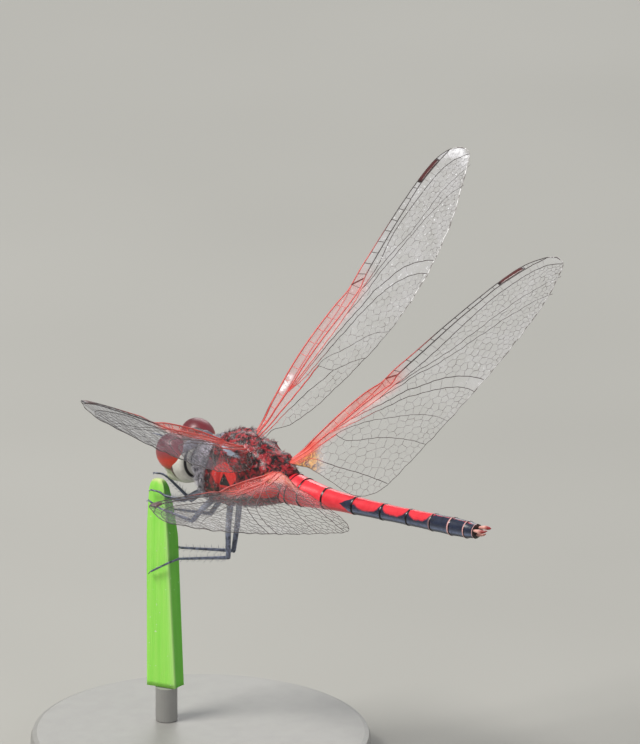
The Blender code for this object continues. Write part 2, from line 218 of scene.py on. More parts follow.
def outward(points, faces):
    """The faces turned so that they point out of a closed shape."""
    volume = 0.0
    for a, *rest in faces:
        for b, c in zip(rest, rest[1:]):
            volume += np.dot(points[a], np.cross(points[b], points[c]))
    return faces if volume > 0 else [f[::-1] for f in faces]


def joined(shapes):
    """Several (points, faces) as one."""
    points, faces, start = [], [], 0
    for some_points, some_faces in shapes:
        points.append(some_points)
        faces += [tuple(start + i for i in f) for f in some_faces]
        start += len(some_points)
    return np.vstack(points), faces


print("a skin over two rings of three points has", len(loft(np.ones((2, 3, 3)))[1]), "faces")

# %% [markdown]
# Materials and Geometry Nodes are both trees of nodes, so one helper adds a node to either kind.
# Colours are written as web codes, which a renderer needs as linear amounts of light.

# %% Colours and nodes
def colour(code):
    """A web colour code as linear red, green, blue and alpha."""
    parts = [int(code[i:i + 2], 16) / 255 for i in (0, 2, 4)]
    return tuple(p / 12.92 if p <= 0.04045 else ((p + 0.055) / 1.055) ** 2.4 for p in parts) + (1.0,)


def add_node(tree, kind, inputs=(), **settings):
    """A node whose inputs are each a socket to link from or a plain value."""
    node = tree.nodes.new(kind)
    for key, value in settings.items():
        setattr(node, key, value)
    for socket, source in dict(inputs).items():
        if isinstance(source, bpy.types.NodeSocket):
            tree.links.new(source, node.inputs[socket])
        else:
            node.inputs[socket].default_value = source
    return node


print("a strong red as linear light:", [round(v, 3) for v in colour("D01A2A")[:3]])

# %% [markdown]
# Materials are small node trees. These helpers keep each recipe to a few readable lines: a mark
# read from the surface, a noise in object coordinates, a ramp of colours, a mix and a bump.

# %% Material helpers
class Look:
    def __init__(self, name, **sockets):
        material = LOOKS[name] = bpy.data.materials.new(name)
        material.use_nodes = True
        self.tree = material.node_tree
        self.shader = self.tree.nodes["Principled BSDF"]
        for socket, value in sockets.items():
            self.shader.inputs[socket.replace("_", " ")].default_value = value

    def add(self, kind, inputs=(), **settings):
        return add_node(self.tree, kind, inputs, **settings)

    def link(self, source, socket="Base Color"):
        self.tree.links.new(source, self.shader.inputs[socket])

    def mark(self, name):
        return self.add("ShaderNodeAttribute", attribute_name=name).outputs["Fac"]

    def place(self):
        return self.add("ShaderNodeTexCoord").outputs["Object"]

    def noise(self, size, detail=3.0, roughness=0.55, distortion=0.0):
        """Cloudy noise with blots about this many millimetres across."""
        inputs = {"Vector": self.place(), "Scale": 1000 / size, "Detail": detail, "Roughness": roughness,
                  "Distortion": distortion}
        return self.add("ShaderNodeTexNoise", inputs).outputs["Fac"]

    def cells(self, size, feature="F1"):
        inputs = {"Vector": self.place(), "Scale": 1000 / size}
        return self.add("ShaderNodeTexVoronoi", inputs, feature=feature).outputs["Distance"]

    def maths(self, operation, *values, clamp=False):
        return self.add("ShaderNodeMath", enumerate(values), operation=operation, use_clamp=clamp).outputs[0]

    def plus(self, a, b, clamp=False):
        return self.maths("ADD", a, b, clamp=clamp)

    def minus(self, a, b):
        return self.maths("SUBTRACT", a, b)

    def times(self, a, b):
        return self.maths("MULTIPLY", a, b)

    def swing(self, value, size):
        """A 0 to 1 value turned into one that swings this much round zero."""
        return self.maths("MULTIPLY_ADD", value, size, -size / 2)

    def steps(self, value, *stops):
        """A ramp: (place, colour code or grey number) for each stop, in order."""
        node = self.add("ShaderNodeValToRGB", {"Fac": value})
        marks = node.color_ramp.elements
        while len(marks) < len(stops):
            marks.new(0.5)
        for mark, (place, tone) in zip(marks, stops):
            mark.position = place
            mark.color = colour(tone) if isinstance(tone, str) else (tone, tone, tone, 1)
        return node.outputs["Color"]

    def rise(self, value, low, high):
        return self.steps(value, (low, 0.0), (high, 1.0))

    def mix(self, share, a, b):
        """From a to b, each a socket or a colour code."""
        a, b = (colour(tone) if isinstance(tone, str) else tone for tone in (a, b))
        return self.add("ShaderNodeMix", {0: share, 6: a, 7: b}, data_type="RGBA").outputs[2]

    def cloudy(self, size, detail, a, b):
        """Two tones in clouds about this many millimetres across."""
        return self.mix(self.noise(size, detail), a, b)

    def painted(self, tone, paint, mark, low, high, ragged=None):
        """Paint over the tone where the mark is high, with a ragged edge if a wobble is given."""
        share = self.mark(mark)
        if ragged is not None:
            share = self.plus(share, ragged)
        return self.mix(self.rise(share, low, high), tone, paint)

    def bump(self, height, depth, strength=1.0, under=None):
        """A bump this many millimetres deep, on top of another one if that is given."""
        inputs = {"Height": height, "Distance": depth * MM, "Strength": strength}
        if under is not None:
            inputs["Normal"] = under
        normal = self.add("ShaderNodeBump", inputs).outputs["Normal"]
        self.link(normal, "Normal")
        return normal


print("steps a material can take:", [step for step in vars(Look) if not step.startswith("_")])

# %% [markdown]
# The camera stands far off with a long lens, a little above and behind the insect's left side,
# so that near and far wings keep nearly the same scale. One large soft light comes from the
# upper left as the sun would, a weaker one fills the shadows, and one behind lights the wing edges.

# %% Camera, lights and floor
TOWARD = Vector((0.6708, 0.6584, 0.3420)).normalized()
SIDEWAYS, UPRIGHT = Vector((-0.7009, 0.7136, 0.0)), Vector((-0.2441, -0.2399, 0.9400))
AIM = Vector((-6.70, 7.17, 34.54)) * MM
CAMERA_DISTANCE, VIEW_HEIGHT, FILM_HEIGHT = 3.0, 0.06098, 24
LIGHTS = {  # metres sideways, up and near from the aim, then size, power and tone
    "key_light": (-0.30, 0.42, 0.30, 0.20, 3.8, (1.0, 0.98, 0.94)),
    "fill_light": (0.50, 0.10, 0.45, 0.60, 1.0, (1, 1, 1)),
    "back_light": (0.10, 0.45, -0.40, 0.40, 1.4, (1, 1, 1))}
FLOOR_REACH = 2.5

scene = bpy.context.scene
scene.view_settings.view_transform = "Standard"
camera = new_object("camera", bpy.data.cameras.new("camera"))
camera.location = AIM + TOWARD * CAMERA_DISTANCE
camera.rotation_euler = TOWARD.to_track_quat("Z", "Y").to_euler()
camera.data.sensor_fit = "VERTICAL"
camera.data.sensor_height = FILM_HEIGHT
camera.data.lens = FILM_HEIGHT * CAMERA_DISTANCE / VIEW_HEIGHT
camera.data.clip_start = 0.01
camera.data.clip_end = 20
scene.camera = camera

for name, (right, up, near, size, power, tone) in LIGHTS.items():
    light = new_object(name, bpy.data.lights.new(name, "AREA"))
    light.data.size, light.data.energy, light.data.color = size, power, tone
    light.location = AIM + SIDEWAYS * right + UPRIGHT * up + TOWARD * near
    light.rotation_euler = (light.location - AIM).to_track_quat("Z", "Y").to_euler()
scene.world = bpy.data.worlds.new("studio")
scene.world.use_nodes = True
sky = scene.world.node_tree.nodes["Background"].inputs
sky["Color"].default_value = (0.80, 0.82, 0.85, 1)
sky["Strength"].default_value = 0.35

floor_look = Look("floor_paper", Roughness=0.9, Specular_IOR_Level=0.2)
floor_look.link(floor_look.steps(floor_look.noise(60, 2), (0.3, "A5A49F"), (0.7, "ABAAA5")))
corners = [(x * FLOOR_REACH, y * FLOOR_REACH, 0) for x, y in ((-1, -1), (1, -1), (1, 1), (-1, 1))]
floor = add_piece("floor", corners, [(0, 1, 2, 3)], "floor_paper", smooth=False)
print("camera", [round(v, 3) for v in camera.location])

# %% [markdown]
# Geometry Nodes do the repeated work. One tree turns a net of edges into fine tubes, as wide as
# each point says, and another stands a small spine on every point, along that point's own
# direction. Both are built once here. The down has a tree of its own, with the same ending.

# %% Two Geometry Nodes trees
def new_tree(name, **sockets):
    """A tree from geometry to geometry with a finish and these sockets besides."""
    tree = bpy.data.node_groups.new(name, "GeometryNodeTree")
    for label, kind in {"Geometry": "Geometry", **sockets, "Finish": "Material"}.items():
        tree.interface.new_socket(label, in_out="INPUT", socket_type="NodeSocket" + kind)
    tree.interface.new_socket("Geometry", in_out="OUTPUT", socket_type="NodeSocketGeometry")
    return tree, tree.nodes.new("NodeGroupInput").outputs


def read_mark(tree, name, kind="FLOAT"):
    node = add_node(tree, "GeometryNodeInputNamedAttribute", {"Name": name}, data_type=kind)
    return node.outputs["Attribute"]


def end_tree(tree, given, made):
    """Makes the result one real mesh with its finish."""
    solid = add_node(tree, "GeometryNodeRealizeInstances", {"Geometry": made.outputs[0]})
    inputs = {"Geometry": solid.outputs[0], "Material": given["Finish"]}
    done = add_node(tree, "GeometryNodeSetMaterial", inputs)
    add_node(tree, "NodeGroupOutput", {0: done.outputs[0]})


def stand_on(tree, given, points, heading, size):
    """Stands the given shape on the points, its z axis along the mark called heading."""
    shape = add_node(tree, "GeometryNodeObjectInfo", {"Object": given["Shape"], "As Instance": True})
    heading = read_mark(tree, heading, "FLOAT_VECTOR")
    turned = add_node(tree, "FunctionNodeAlignEulerToVector", {"Vector": heading}, axis="Z")
    inputs = {"Points": points, "Instance": shape.outputs["Geometry"], "Rotation": turned.outputs[0],
              "Scale": size}
    end_tree(tree, given, add_node(tree, "GeometryNodeInstanceOnPoints", inputs))


tube_tree, given = new_tree("net_of_tubes", Sides="Int")
lines = add_node(tube_tree, "GeometryNodeMeshToCurve", {"Mesh": given["Geometry"]})
hoop = add_node(tube_tree, "GeometryNodeCurvePrimitiveCircle", {"Resolution": given["Sides"], "Radius": 1.0})
inputs = {"Curve": lines.outputs[0], "Profile Curve": hoop.outputs[0],
          "Scale": read_mark(tube_tree, "width"), "Fill Caps": True}
end_tree(tube_tree, given, add_node(tube_tree, "GeometryNodeCurveToMesh", inputs))

spine_tree, given = new_tree("spines_on_points", Shape="Object")
stand_on(spine_tree, given, given["Geometry"], "lean", read_mark(spine_tree, "reach"))


def run_tree(name, source, tree, look, **inputs):
    """Runs the tree on a helper object and keeps the result as a plain mesh piece."""
    modifier = source.modifiers.new("made", "NODES")
    modifier.node_group = tree
    inputs["Finish"] = LOOKS[look]
    for item in tree.interface.items_tree:
        if item.in_out == "INPUT" and item.name in inputs:
            modifier[item.identifier] = inputs[item.name]
    bpy.context.view_layer.update()
    graph = bpy.context.evaluated_depsgraph_get()
    mesh = bpy.data.meshes.new_from_object(source.evaluated_get(graph), preserve_all_data_layers=True,
                                           depsgraph=graph)
    mesh.name = name
    mesh.polygons.foreach_set("use_smooth", [True] * len(mesh.polygons))
    old = source.data
    bpy.data.objects.remove(source)
    bpy.data.meshes.remove(old)
    return new_object(name, mesh)


print("nodes in the trees:", {tree.name: len(tree.nodes) for tree in (tube_tree, spine_tree)})

# %% [markdown]
# ## The wings
# A dragonfly's wing is a clear film stretched over a net of hollow veins. A few long veins fan out
# from the root, and hundreds of small cells fill the fields between them, large near the root and
# fine towards the tip and the rear edge. The outlines and long veins are given in thousandths of
# the wing's length, so that one plan serves both sides.

# %% Wing outlines and long veins
LENGTHS = {"fore": 29.0, "hind": 27.3}
NODUS = {"fore": 0.487, "hind": 0.358}
SPOTS = {"fore": (0.834, 0.918), "hind": (0.801, 0.890)}
OUTLINES = {  # thousandths of the wing's length outwards and forwards
    "fore": ((-20, -6), (200, 0), (487, -3), (700, 3), (834, -2), (918, -18), (966, -60), (979, -96),
             (962, -132), (865, -178), (776, -215), (658, -241), (572, -250), (454, -247), (330, -225),
             (158, -170), (60, -120), (15, -70), (-20, -55)),
    "hind": ((-15, -12), (160, -12), (385, -18), (600, -10), (801, -21), (900, -44), (970, -102),
             (982, -138), (962, -172), (840, -240), (651, -296), (450, -335), (290, -358), (165, -372),
             (95, -370), (36, -318), (16, -200), (2, -100), (-16, -62))}
FRONT_EDGE_POINTS = 8
FORE_VEINS = {
    "subcosta": ((-20, -14), (100, -22), (203, -22), (306, -20), (398, -18), (487, -3)),
    "radius": ((-20, -24), (126, -46), (232, -50), (340, -54), (430, -57), (485, -56), (530, -43),
               (591, -36), (678, -29), (746, -27), (834, -24), (918, -38), (960, -50)),
    "first_fork": ((130, -50), (232, -63), (340, -69), (440, -68), (487, -62), (572, -60), (636, -46),
                   (696, -41), (789, -46), (876, -58), (926, -78), (955, -105), (972, -125)),
    "second_fork": ((487, -62), (541, -71), (604, -78), (712, -100), (800, -108), (870, -122),
                    (945, -155)),
    "between_vein": ((400, -69), (470, -78), (580, -90), (641, -99), (728, -114), (826, -142),
                     (885, -177)),
    "bow_vein": ((130, -50), (170, -60), (250, -70), (324, -78), (403, -90), (504, -110), (572, -136),
                 (612, -168), (640, -208), (655, -241)),
    "bow_twin": ((130, -50), (200, -75), (286, -90), (380, -106), (470, -126), (535, -150), (575, -182),
                 (600, -215), (612, -246)),
    "stem_vein": ((-20, -36), (100, -68), (170, -82), (235, -92)),
    "middle_vein": ((235, -92), (262, -98), (300, -125), (350, -160), (390, -195), (415, -242)),
    "rear_vein": ((235, -92), (238, -115), (245, -140), (270, -165), (300, -195), (318, -222)),
    "anal_vein": ((-20, -45), (80, -85), (160, -112), (245, -140))}
HIND_VEINS = {
    "subcosta": ((-15, -20), (93, -30), (190, -34), (280, -32), (358, -18)),
    "radius": ((-15, -28), (145, -55), (255, -62), (330, -68), (358, -70), (395, -55), (485, -45),
               (616, -36), (734, -38), (800, -42), (900, -66), (955, -90)),
    "first_fork": ((120, -55), (200, -70), (300, -80), (360, -79), (430, -80), (510, -79), (668, -66),
                   (770, -64), (880, -84), (940, -112), (976, -155)),
    "second_fork": ((360, -79), (440, -96), (519, -112), (649, -126), (760, -138), (860, -160),
                    (945, -195)),
    "between_vein": ((290, -79), (400, -100), (520, -130), (649, -155), (751, -175), (840, -203),
                     (890, -228)),
    "bow_vein": ((120, -55), (160, -63), (220, -78), (302, -105), (392, -138), (464, -182), (514, -230),
                 (545, -280), (558, -316)),
    "bow_twin": ((120, -55), (200, -88), (280, -122), (360, -154), (420, -192), (470, -240), (500, -285),
                 (512, -325)),
    "stem_vein": ((-15, -42), (80, -62), (130, -72)),
    "middle_vein": ((130, -72), (172, -88), (240, -135), (300, -188), (350, -245), (380, -300),
                    (392, -344)),
    "rear_vein": ((130, -72), (132, -100), (140, -125), (178, -164), (215, -205), (245, -250), (275, -305),
                  (295, -356)),
    "anal_vein": ((-15, -55), (30, -85), (68, -190), (100, -275), (130, -370))}
VEINS = {"fore": FORE_VEINS, "hind": HIND_VEINS}
print("long veins:", {kind: len(veins) for kind, veins in VEINS.items()})

# %% [markdown]
# Two questions come up again and again on the flat plan of a wing: is a point inside an outline,
# and how far is it from a line. Both are answered for many points at once, which keeps them quick.

# %% Inside and nearest
def inside(fence, points):
    x, y = points[:, 0][:, None], points[:, 1][:, None]
    x1, y1 = fence[:, 0], fence[:, 1]
    x2, y2 = np.roll(x1, -1), np.roll(y1, -1)
    with np.errstate(divide="ignore", invalid="ignore"):
        crossing = ((y1 > y) != (y2 > y)) & (x < (x2 - x1) * (y - y1) / (y2 - y1) + x1)
    return crossing.sum(1) % 2 == 1


def nearest(line, points):
    """The closest point of a line to each point, and how far it is."""
    a, b = line[:-1], line[1:]
    along = b - a
    share = np.clip(((points[:, None] - a) * along).sum(2) / ((along ** 2).sum(1) + 1e-12), 0, 1)
    foot = a + share[:, :, None] * along
    far = np.linalg.norm(points[:, None] - foot, axis=2)
    best = far.argmin(1)
    rows = np.arange(len(points))
    return foot[rows, best], far[rows, best]


SQUARE = np.array(((0.0, 0.0), (1.0, 0.0), (1.0, 1.0), (0.0, 1.0)))
print("inside a unit square:", inside(SQUARE, np.array(((0.5, 0.5), (1.5, 0.5)))))

# %% [markdown]
# A field's cells are a Voronoi pattern: seeds are thrown in, each is mirrored in the field's edges
# so that the walls end square on the long veins, and a few rounds of relaxing even them out.

# %% Seeds and their cells
SEED_THROWS, RELAXING_ROUNDS = 5000, 4


def throw_seeds(fence, size_at, seed):
    """Random places inside the fence that keep a cell's size apart."""
    throws = np.random.default_rng(seed).uniform(fence.min(0), fence.max(0), (SEED_THROWS, 2))
    throws = throws[inside(fence, throws)]
    seeds = []
    for point, size in zip(throws, size_at(throws)):
        if all(abs(point - other).sum() > size or np.linalg.norm(point - other) > 0.8 * size
               for other in seeds):
            seeds.append(point)
    return np.array(seeds)


def cell_corners(seeds, sides, size):
    """Triangles between the seeds and their mirror images, with the centre of the circle round each."""
    mirrored = []
    for side in sides:
        foot, far = nearest(side, seeds)
        close = far < 1.6 * size
        mirrored.append(2 * foot[close] - seeds[close])
    every = np.vstack([seeds] + mirrored)
    _, _, triangles, origin, _, _ = delaunay_2d_cdt([Vector(p) for p in every], [], [], 0, 1e-5)
    triangles = [[origin[i][0] for i in t] for t in triangles]
    corners = every[np.array(triangles)]
    a, b, c = corners[:, 0], corners[:, 1] - corners[:, 0], corners[:, 2] - corners[:, 0]
    d = 2 * (b[:, 0] * c[:, 1] - b[:, 1] * c[:, 0]) + 1e-12
    bb, cc = (b ** 2).sum(1), (c ** 2).sum(1)
    centres = a + np.column_stack([c[:, 1] * bb - b[:, 1] * cc, b[:, 0] * cc - c[:, 0] * bb]) / d[:, None]
    return triangles, centres


def relaxed(seeds, fence, triangles, centres, size):
    """Each seed moved to the middle of its cell's corners, unless that is far or outside."""
    total, count = np.zeros_like(seeds), np.zeros(len(seeds))
    for triangle, centre in zip(triangles, centres):
        for i in triangle:
            if i < len(seeds):
                total[i] += centre
                count[i] += 1
    moved = np.where(count[:, None] > 0, total / np.maximum(count, 1)[:, None], seeds)
    good = inside(fence, moved) & (np.linalg.norm(moved - seeds, axis=1) < 1.5 * size)
    return np.where(good[:, None], moved, seeds)


print("seeds are relaxed", RELAXING_ROUNDS, "times")

# %% [markdown]
# Two cells that share a triangle's side share a wall, which runs between the centres of the two
# triangles. A wall that leaves the field is cut at its edge. Nearer the front edge the veins leave
# no room for cells: there a ladder of short cross-veins joins two long ones.

# %% Walls and ladders
SHORTEST_WALL = 0.03


def cell_walls(sides, size_at, seed):
    """Wall segments of the cells inside the field that these side lines close."""
    fence = np.vstack(sides)
    seeds = throw_seeds(fence, size_at, seed)
    triangles, centres = cell_corners(seeds, sides, size_at(seeds))
    for _ in range(RELAXING_ROUNDS):
        seeds = relaxed(seeds, fence, triangles, centres, size_at(seeds))
        triangles, centres = cell_corners(seeds, sides, size_at(seeds))
    shared = {}
    for number, triangle in enumerate(triangles):
        for i, j in ((0, 1), (1, 2), (2, 0)):
            pair = tuple(sorted((triangle[i], triangle[j])))
            if pair[1] < len(seeds):
                shared.setdefault(pair, []).append(number)
    walls = []
    for pair in shared.values():
        ends = centres[pair]
        held = inside(fence, ends)
        if len(pair) != 2 or not held.any():
            continue
        if not held.all():
            kept, lost = ends if held[0] else ends[::-1]
            path = kept + np.linspace(0, 1, 40)[:, None] * (lost - kept)
            held = inside(fence, path)
            ends = np.array([kept, lost if held.all() else path[max(0, held.argmin() - 1)]])
        if np.linalg.norm(ends[1] - ends[0]) > SHORTEST_WALL:
            walls.append(ends)
    return walls


def ladder(front, back, gaps, slant=0.0):
    """Cross-veins between two long veins, at these places along x."""
    tops = [np.array([x, y_on(front, x)]) for x in gaps]
    return [np.array([top, nearest(back, top[None] + (slant, 0))[0][0]]) for top in tops]


print("a rung between two sides of the square:", ladder(SQUARE[:2], SQUARE[:1:-1], [0.5])[0].tolist())

# %% [markdown]
# Now each plan gets its net. The leading fields are ladders of straight cross-veins, the others
# hold cells. The spot of dark film near the tip, the pterostigma, weights the wing in flight.

# %% Nets of both plans
def cut_line(line, low, high):
    return line[(line[:, 0] >= low) & (line[:, 0] <= high)]


def rim_between(rim, start, end):
    """The part of the rim from the point nearest start to the one nearest end, the short way round."""
    i, j = (int(np.linalg.norm(rim - p, axis=1).argmin()) for p in (start, end))
    forwards = [k % len(rim) for k in range(i, i + (j - i) % len(rim) + 1)]
    backwards = [k % len(rim) for k in range(i, i - (i - j) % len(rim) - 1, -1)]
    return rim[forwards if len(forwards) < len(backwards) else backwards]


def net_of(kind, seed):
    """The plan in millimetres, x along the wing and y forwards: rim, long veins and the walls between."""
    fore, length, nodus, spot = kind == "fore", LENGTHS[kind], NODUS[kind], SPOTS[kind]
    n = nodus * length
    outline = np.array(OUTLINES[kind]) / 1000
    rim = smooth_rows(outline, 10, closed=True) * length
    costa = even_line(smooth_rows(outline[:FRONT_EDGE_POINTS], 10) * length, 0.30)
    line = {name: even_line(smooth_rows(np.array(key_points) / 1000, 10) * length, 0.30)
            for name, key_points in VEINS[kind].items()}
    radius, fork, second = (line[n] for n in ("radius", "first_fork", "second_fork"))
    between, bow, twin = (line[n] for n in ("between_vein", "bow_vein", "bow_twin"))
    stem, middle, rear, anal = (line[n] for n in ("stem_vein", "middle_vein", "rear_vein", "anal_vein"))

    def size_at(p):
        """Cells shrink towards the tip and the rear edge."""
        to_rim = nearest(looped(rim), p)[1]
        return (1.00 - 0.50 * np.clip(p[:, 0] / length, 0, 1)) * (0.66 + 0.36 * np.clip(to_rim / 2.5, 0, 1))

    def field(front, back, number):
        edge = rim_between(rim, front[-1], back[-1])
        return cell_walls([front, edge, back[::-1], np.array([back[0], front[0]])], size_at, seed + number)

    def field_at_root(front, number):
        edge = rim_between(rim, front[-1], outline[-2] * length)
        return cell_walls([front, edge, np.array([edge[-1], front[0]])], size_at, seed + number)

    thin = field(cut_line(fork, n, length), second, 1) + field(second, between, 2)
    thin += field(np.vstack([cut_line(fork, bow[4, 0], between[0][0] - 0.1), between]), bow[4:], 3)
    thin += field(twin[twin[:, 0] > middle[0][0]], middle, 4) + field(middle, rear, 5)
    thin += ladder(bow, twin, np.arange(bow[10, 0], bow[-6, 0], 0.031 * length))
    if fore:
        thin += field_at_root(np.vstack([anal, cut_line(rear, anal[-1][0], length)]), 6)
    else:
        thin += field(np.vstack([stem, rear]), anal, 6) + field_at_root(anal, 7)
    thin += ladder(radius, fork, np.r_[np.linspace(nodus + 0.03, 0.90, 16), 0.925, 0.945] * length, 0.08)
    thin += ladder(costa, radius, (spot[1] + np.array([0.014, 0.030])) * length)
    thin += ladder(radius, fork, np.array([0.30, 0.38, 0.44] if fore else [0.19, 0.25, 0.31]) * length)
    if fore:
        thin += ladder(bow, stem, np.array([0.16, 0.20]) * length)
    thin += ladder(radius, stem, np.array([0.05, 0.10]) * length)
    before = np.linspace(0.06, 0.94, 11 if fore else 8) * n
    after = np.r_[np.linspace(nodus + 0.035, spot[0] - 0.02, 9), spot] * length
    thick = ladder(costa, line["subcosta"], before) + ladder(line["subcosta"], radius, before + 0.12)
    thick += ladder(costa, radius, after, 0.05)
    thick.append(np.array([radius[np.abs(radius[:, 0] - n).argmin()], [n, y_on(costa, n)]]))
    print("net:", len(thin), "fine walls,", len(thick), "cross-veins,", len(line), "long veins")
    return {"kind": kind, "length": length, "rim": rim, "costa": costa, "line": line, "thin": thin,
            "thick": thick}


NETS = {"fore": net_of("fore", 11), "hind": net_of("hind", 31)}

# %% [markdown]
# The flat plan is now bent: a low vein sinks and its neighbours stand up near the front edge, like
# the pleats of a fan, which is what stiffens a real wing, and the rear field sags a little. The
# film and its veins use the same height rule, so they stay together.

# %% Placing a wing
ROOTS = {"fore": (1.5, 0.0, 4.1), "hind": (1.6, 3.6, 2.22)}
WING_POSES = {  # degrees of sweep back, rise and nose-up turn; how far the front edge rises near the
    # root and how far the middle sags, in millimetres; shares of the plan's reach out and back
    "forewing_left": (16.7, 35.5, 30.9, 0.25, 0.0, (1, 1)),
    "forewing_right": (13.4, 36.7, 4.3, 0.55, 0.0, (1, 1)),
    "hindwing_left": (19.8, 22.3, 24.5, 0.10, 0.6, (0.97, 0.945)),
    "hindwing_right": (23.5, 23.3, 8.3, 0.42, 0.0, (1, 1))}


def wing_height(net, p, lift, drop):
    x, y = p[:, 0], p[:, 1]
    s = np.clip(x / net["length"], 0, 1)
    nodus = NODUS[net["kind"]]
    ridge = y_on(net["line"]["radius"], x)
    root = 1 - fade(0.9 * nodus, 1.15 * nodus, s)
    z = -0.30 * root * bell(y - y_on(net["line"]["subcosta"], x), 0.32) * fade(0, 0.06, s)
    z = z + (0.22 - 0.12 * s) * bell(y - ridge, 0.45)
    z = (z + 0.25 * bell(y - 2.1 * ridge, 0.7) * (1 - s)
         - 0.010 * np.clip(-y - 1.5, 0, 9) ** 2 * (1 - 0.5 * s))
    z = z + 0.03 * np.sin(2.6 * x + 1.3 * y) * fade(1.5, 3.5, -y)
    z = z + 0.025 * np.sin(5.1 * x - 3.0 * y) * fade(1.0, 3.0, -y)
    z = z + lift * bell(s - 0.25, 0.20) * fade(0, 0.08, s) * fade(-4.5, -1.0, y)
    return z - drop * 4 * s * (1 - s) * fade(-6.0, 0.0, y)


def wing_turn(name):
    """The wing's root and its directions outwards, forwards and up."""
    side = 1 if name.endswith("left") else -1
    sweep, rise, turn = (math.radians(a) for a in WING_POSES[name][:3])
    span = np.array((side * math.cos(rise) * math.cos(sweep), math.cos(rise) * math.sin(sweep),
                     math.sin(rise)))
    level = np.array((side * math.sin(sweep), -math.cos(sweep), 0.0))
    upright = np.array((-side * math.sin(rise) * math.cos(sweep), -math.sin(rise) * math.sin(sweep),
                        math.cos(rise)))
    lead = level * math.cos(turn) + upright * math.sin(turn)
    return np.array(ROOTS[name[:4]]) * (side, 1, 1), span, lead, -side * np.cross(span, lead)


def place_wing(name, net, plan, above=0.0):
    """Plan points (x, y) to body millimetres, this far above the film's middle."""
    root, span, lead, up = wing_turn(name)
    lift, drop, shares = WING_POSES[name][3:]
    plan = plan * shares
    z = wing_height(net, plan, lift, drop) + above
    return root + plan[:, :1] * span + plan[:, 1:2] * lead + z[:, None] * up


for wing in WING_POSES:
    net = NETS[wing[:4]]
    tip = to_world(place_wing(wing, net, np.array([(net["length"], 0.0)])))[0]
    print(wing, "reaches", [round(1000 * v, 1) for v in tip])

# %% [markdown]
# The film is glassy, with a faint smoky tint, painted white glints on the right forewing, fine painted
# sparkles and amber and red stains at the root. The left wings get a bluish painted shade. The veins are
# red from the root to the notch called the nodus, then nearly black, and the finest ones are a paler
# grey-brown with painted white glints here and there.

# %% Wing materials
film = Look("wing_film", Roughness=0.30, IOR=1.45, Specular_IOR_Level=0.35)
stain, blush, shade, haze = (film.mark(name) for name in ("stain", "blush", "shade", "haze"))
cloud = film.noise(1.6, 3)
# painted shade: the film of the left wings is darkened towards blue-grey, more so outwards
tint = film.mix(shade, film.mix(cloud, "B4B2B6", "E4E2EC"), "4E5870")
folds = film.rise(film.noise(0.4, 3, 0.6, 1.5), 0.42, 0.56)
tint = film.mix(stain, tint, film.mix(folds, "5A2412", "E8A83A"))
tint = film.mix(blush, tint, film.cloudy(0.6, 2, "D8342E", "F08474"))
# painted highlights: white patches where the right forewing would catch the light, and fine sparkles over
# all the film
painted_glint_patches = film.times(film.mark("silver"), film.rise(film.noise(0.5, 3), 0.34, 0.52))
silver = film.plus(painted_glint_patches, film.times(film.rise(film.noise(0.20, 2), 0.665, 0.72), haze), clamp=True)
film.link(film.mix(silver, tint, "F6F6F8"))
cover = film.plus(film.times(stain, 0.75), film.times(film.times(cloud, 0.22), haze))
cover = film.plus(film.plus(cover, film.times(blush, 0.24)), film.times(shade, 0.14))
film.link(film.plus(cover, film.times(silver, 0.75), clamp=True), "Alpha")
film.bump(film.plus(film.noise(0.9, 2), film.cells(0.55, "SMOOTH_F1")), 0.05, 0.6)

vein = Look("wing_veins", Roughness=0.35, Specular_IOR_Level=0.6)
red = vein.rise(vein.plus(vein.mark("red"), vein.swing(vein.noise(0.8, 2), 0.3)), 0.12, 0.75)
# the finest walls are a paler grey-brown, with painted white glints in patches
pale_wall_and_painted_glint = vein.mix(vein.rise(vein.noise(0.45, 3), 0.40, 0.58), "7A716E", "F4F2F2")
dark = vein.mix(vein.mark("pale"), vein.cloudy(0.5, 2, "1E1718", "4A3A38"), pale_wall_and_painted_glint)
vein.link(vein.mix(red, dark, vein.cloudy(0.35, 2, "C42E34", "F47468")))
vein.bump(vein.noise(0.10, 2), 0.01, 0.5)

spot = Look("wing_spot", Roughness=0.3, Specular_IOR_Level=0.6)
spot.link(spot.mix(spot.mark("edge"), spot.cloudy(0.4, 3, "3A1616", "642A28"), "140E10"))
spot.bump(spot.noise(0.15, 3), 0.02, 0.6)
print("nodes in the wing materials:", [len(look.tree.nodes) for look in (film, vein, spot)])

# %% [markdown]
# The film is a sheet a few hundredths of a millimetre thick. Its points are a fine grid inside the
# outline, joined by Delaunay triangles, because a grid of quads would not follow the rounded rim.

# %% Wing film
FILM_HALF, FILM_STEP, RIM_STEP = 0.012, 0.36, 0.30
FILM_TONES = {  # amber stain, blush along the front and round the root, haze at the root and how much more of it outwards, bluish painted shade
    # much more of it outwards, bluish shade
    "forewing_left": (0.0, 0.99, 0.0, 0.0, 0.3, 0.8), "forewing_right": (0.0, 0.55, 0.0, 0.25, 0.75, 0.0),
    "hindwing_left": (0.9, 1.0, 0.7, 0.0, 0.3, 0.3), "hindwing_right": (0.9, 1.0, 0.0, 0.1625, 0.4875, 0.0)}


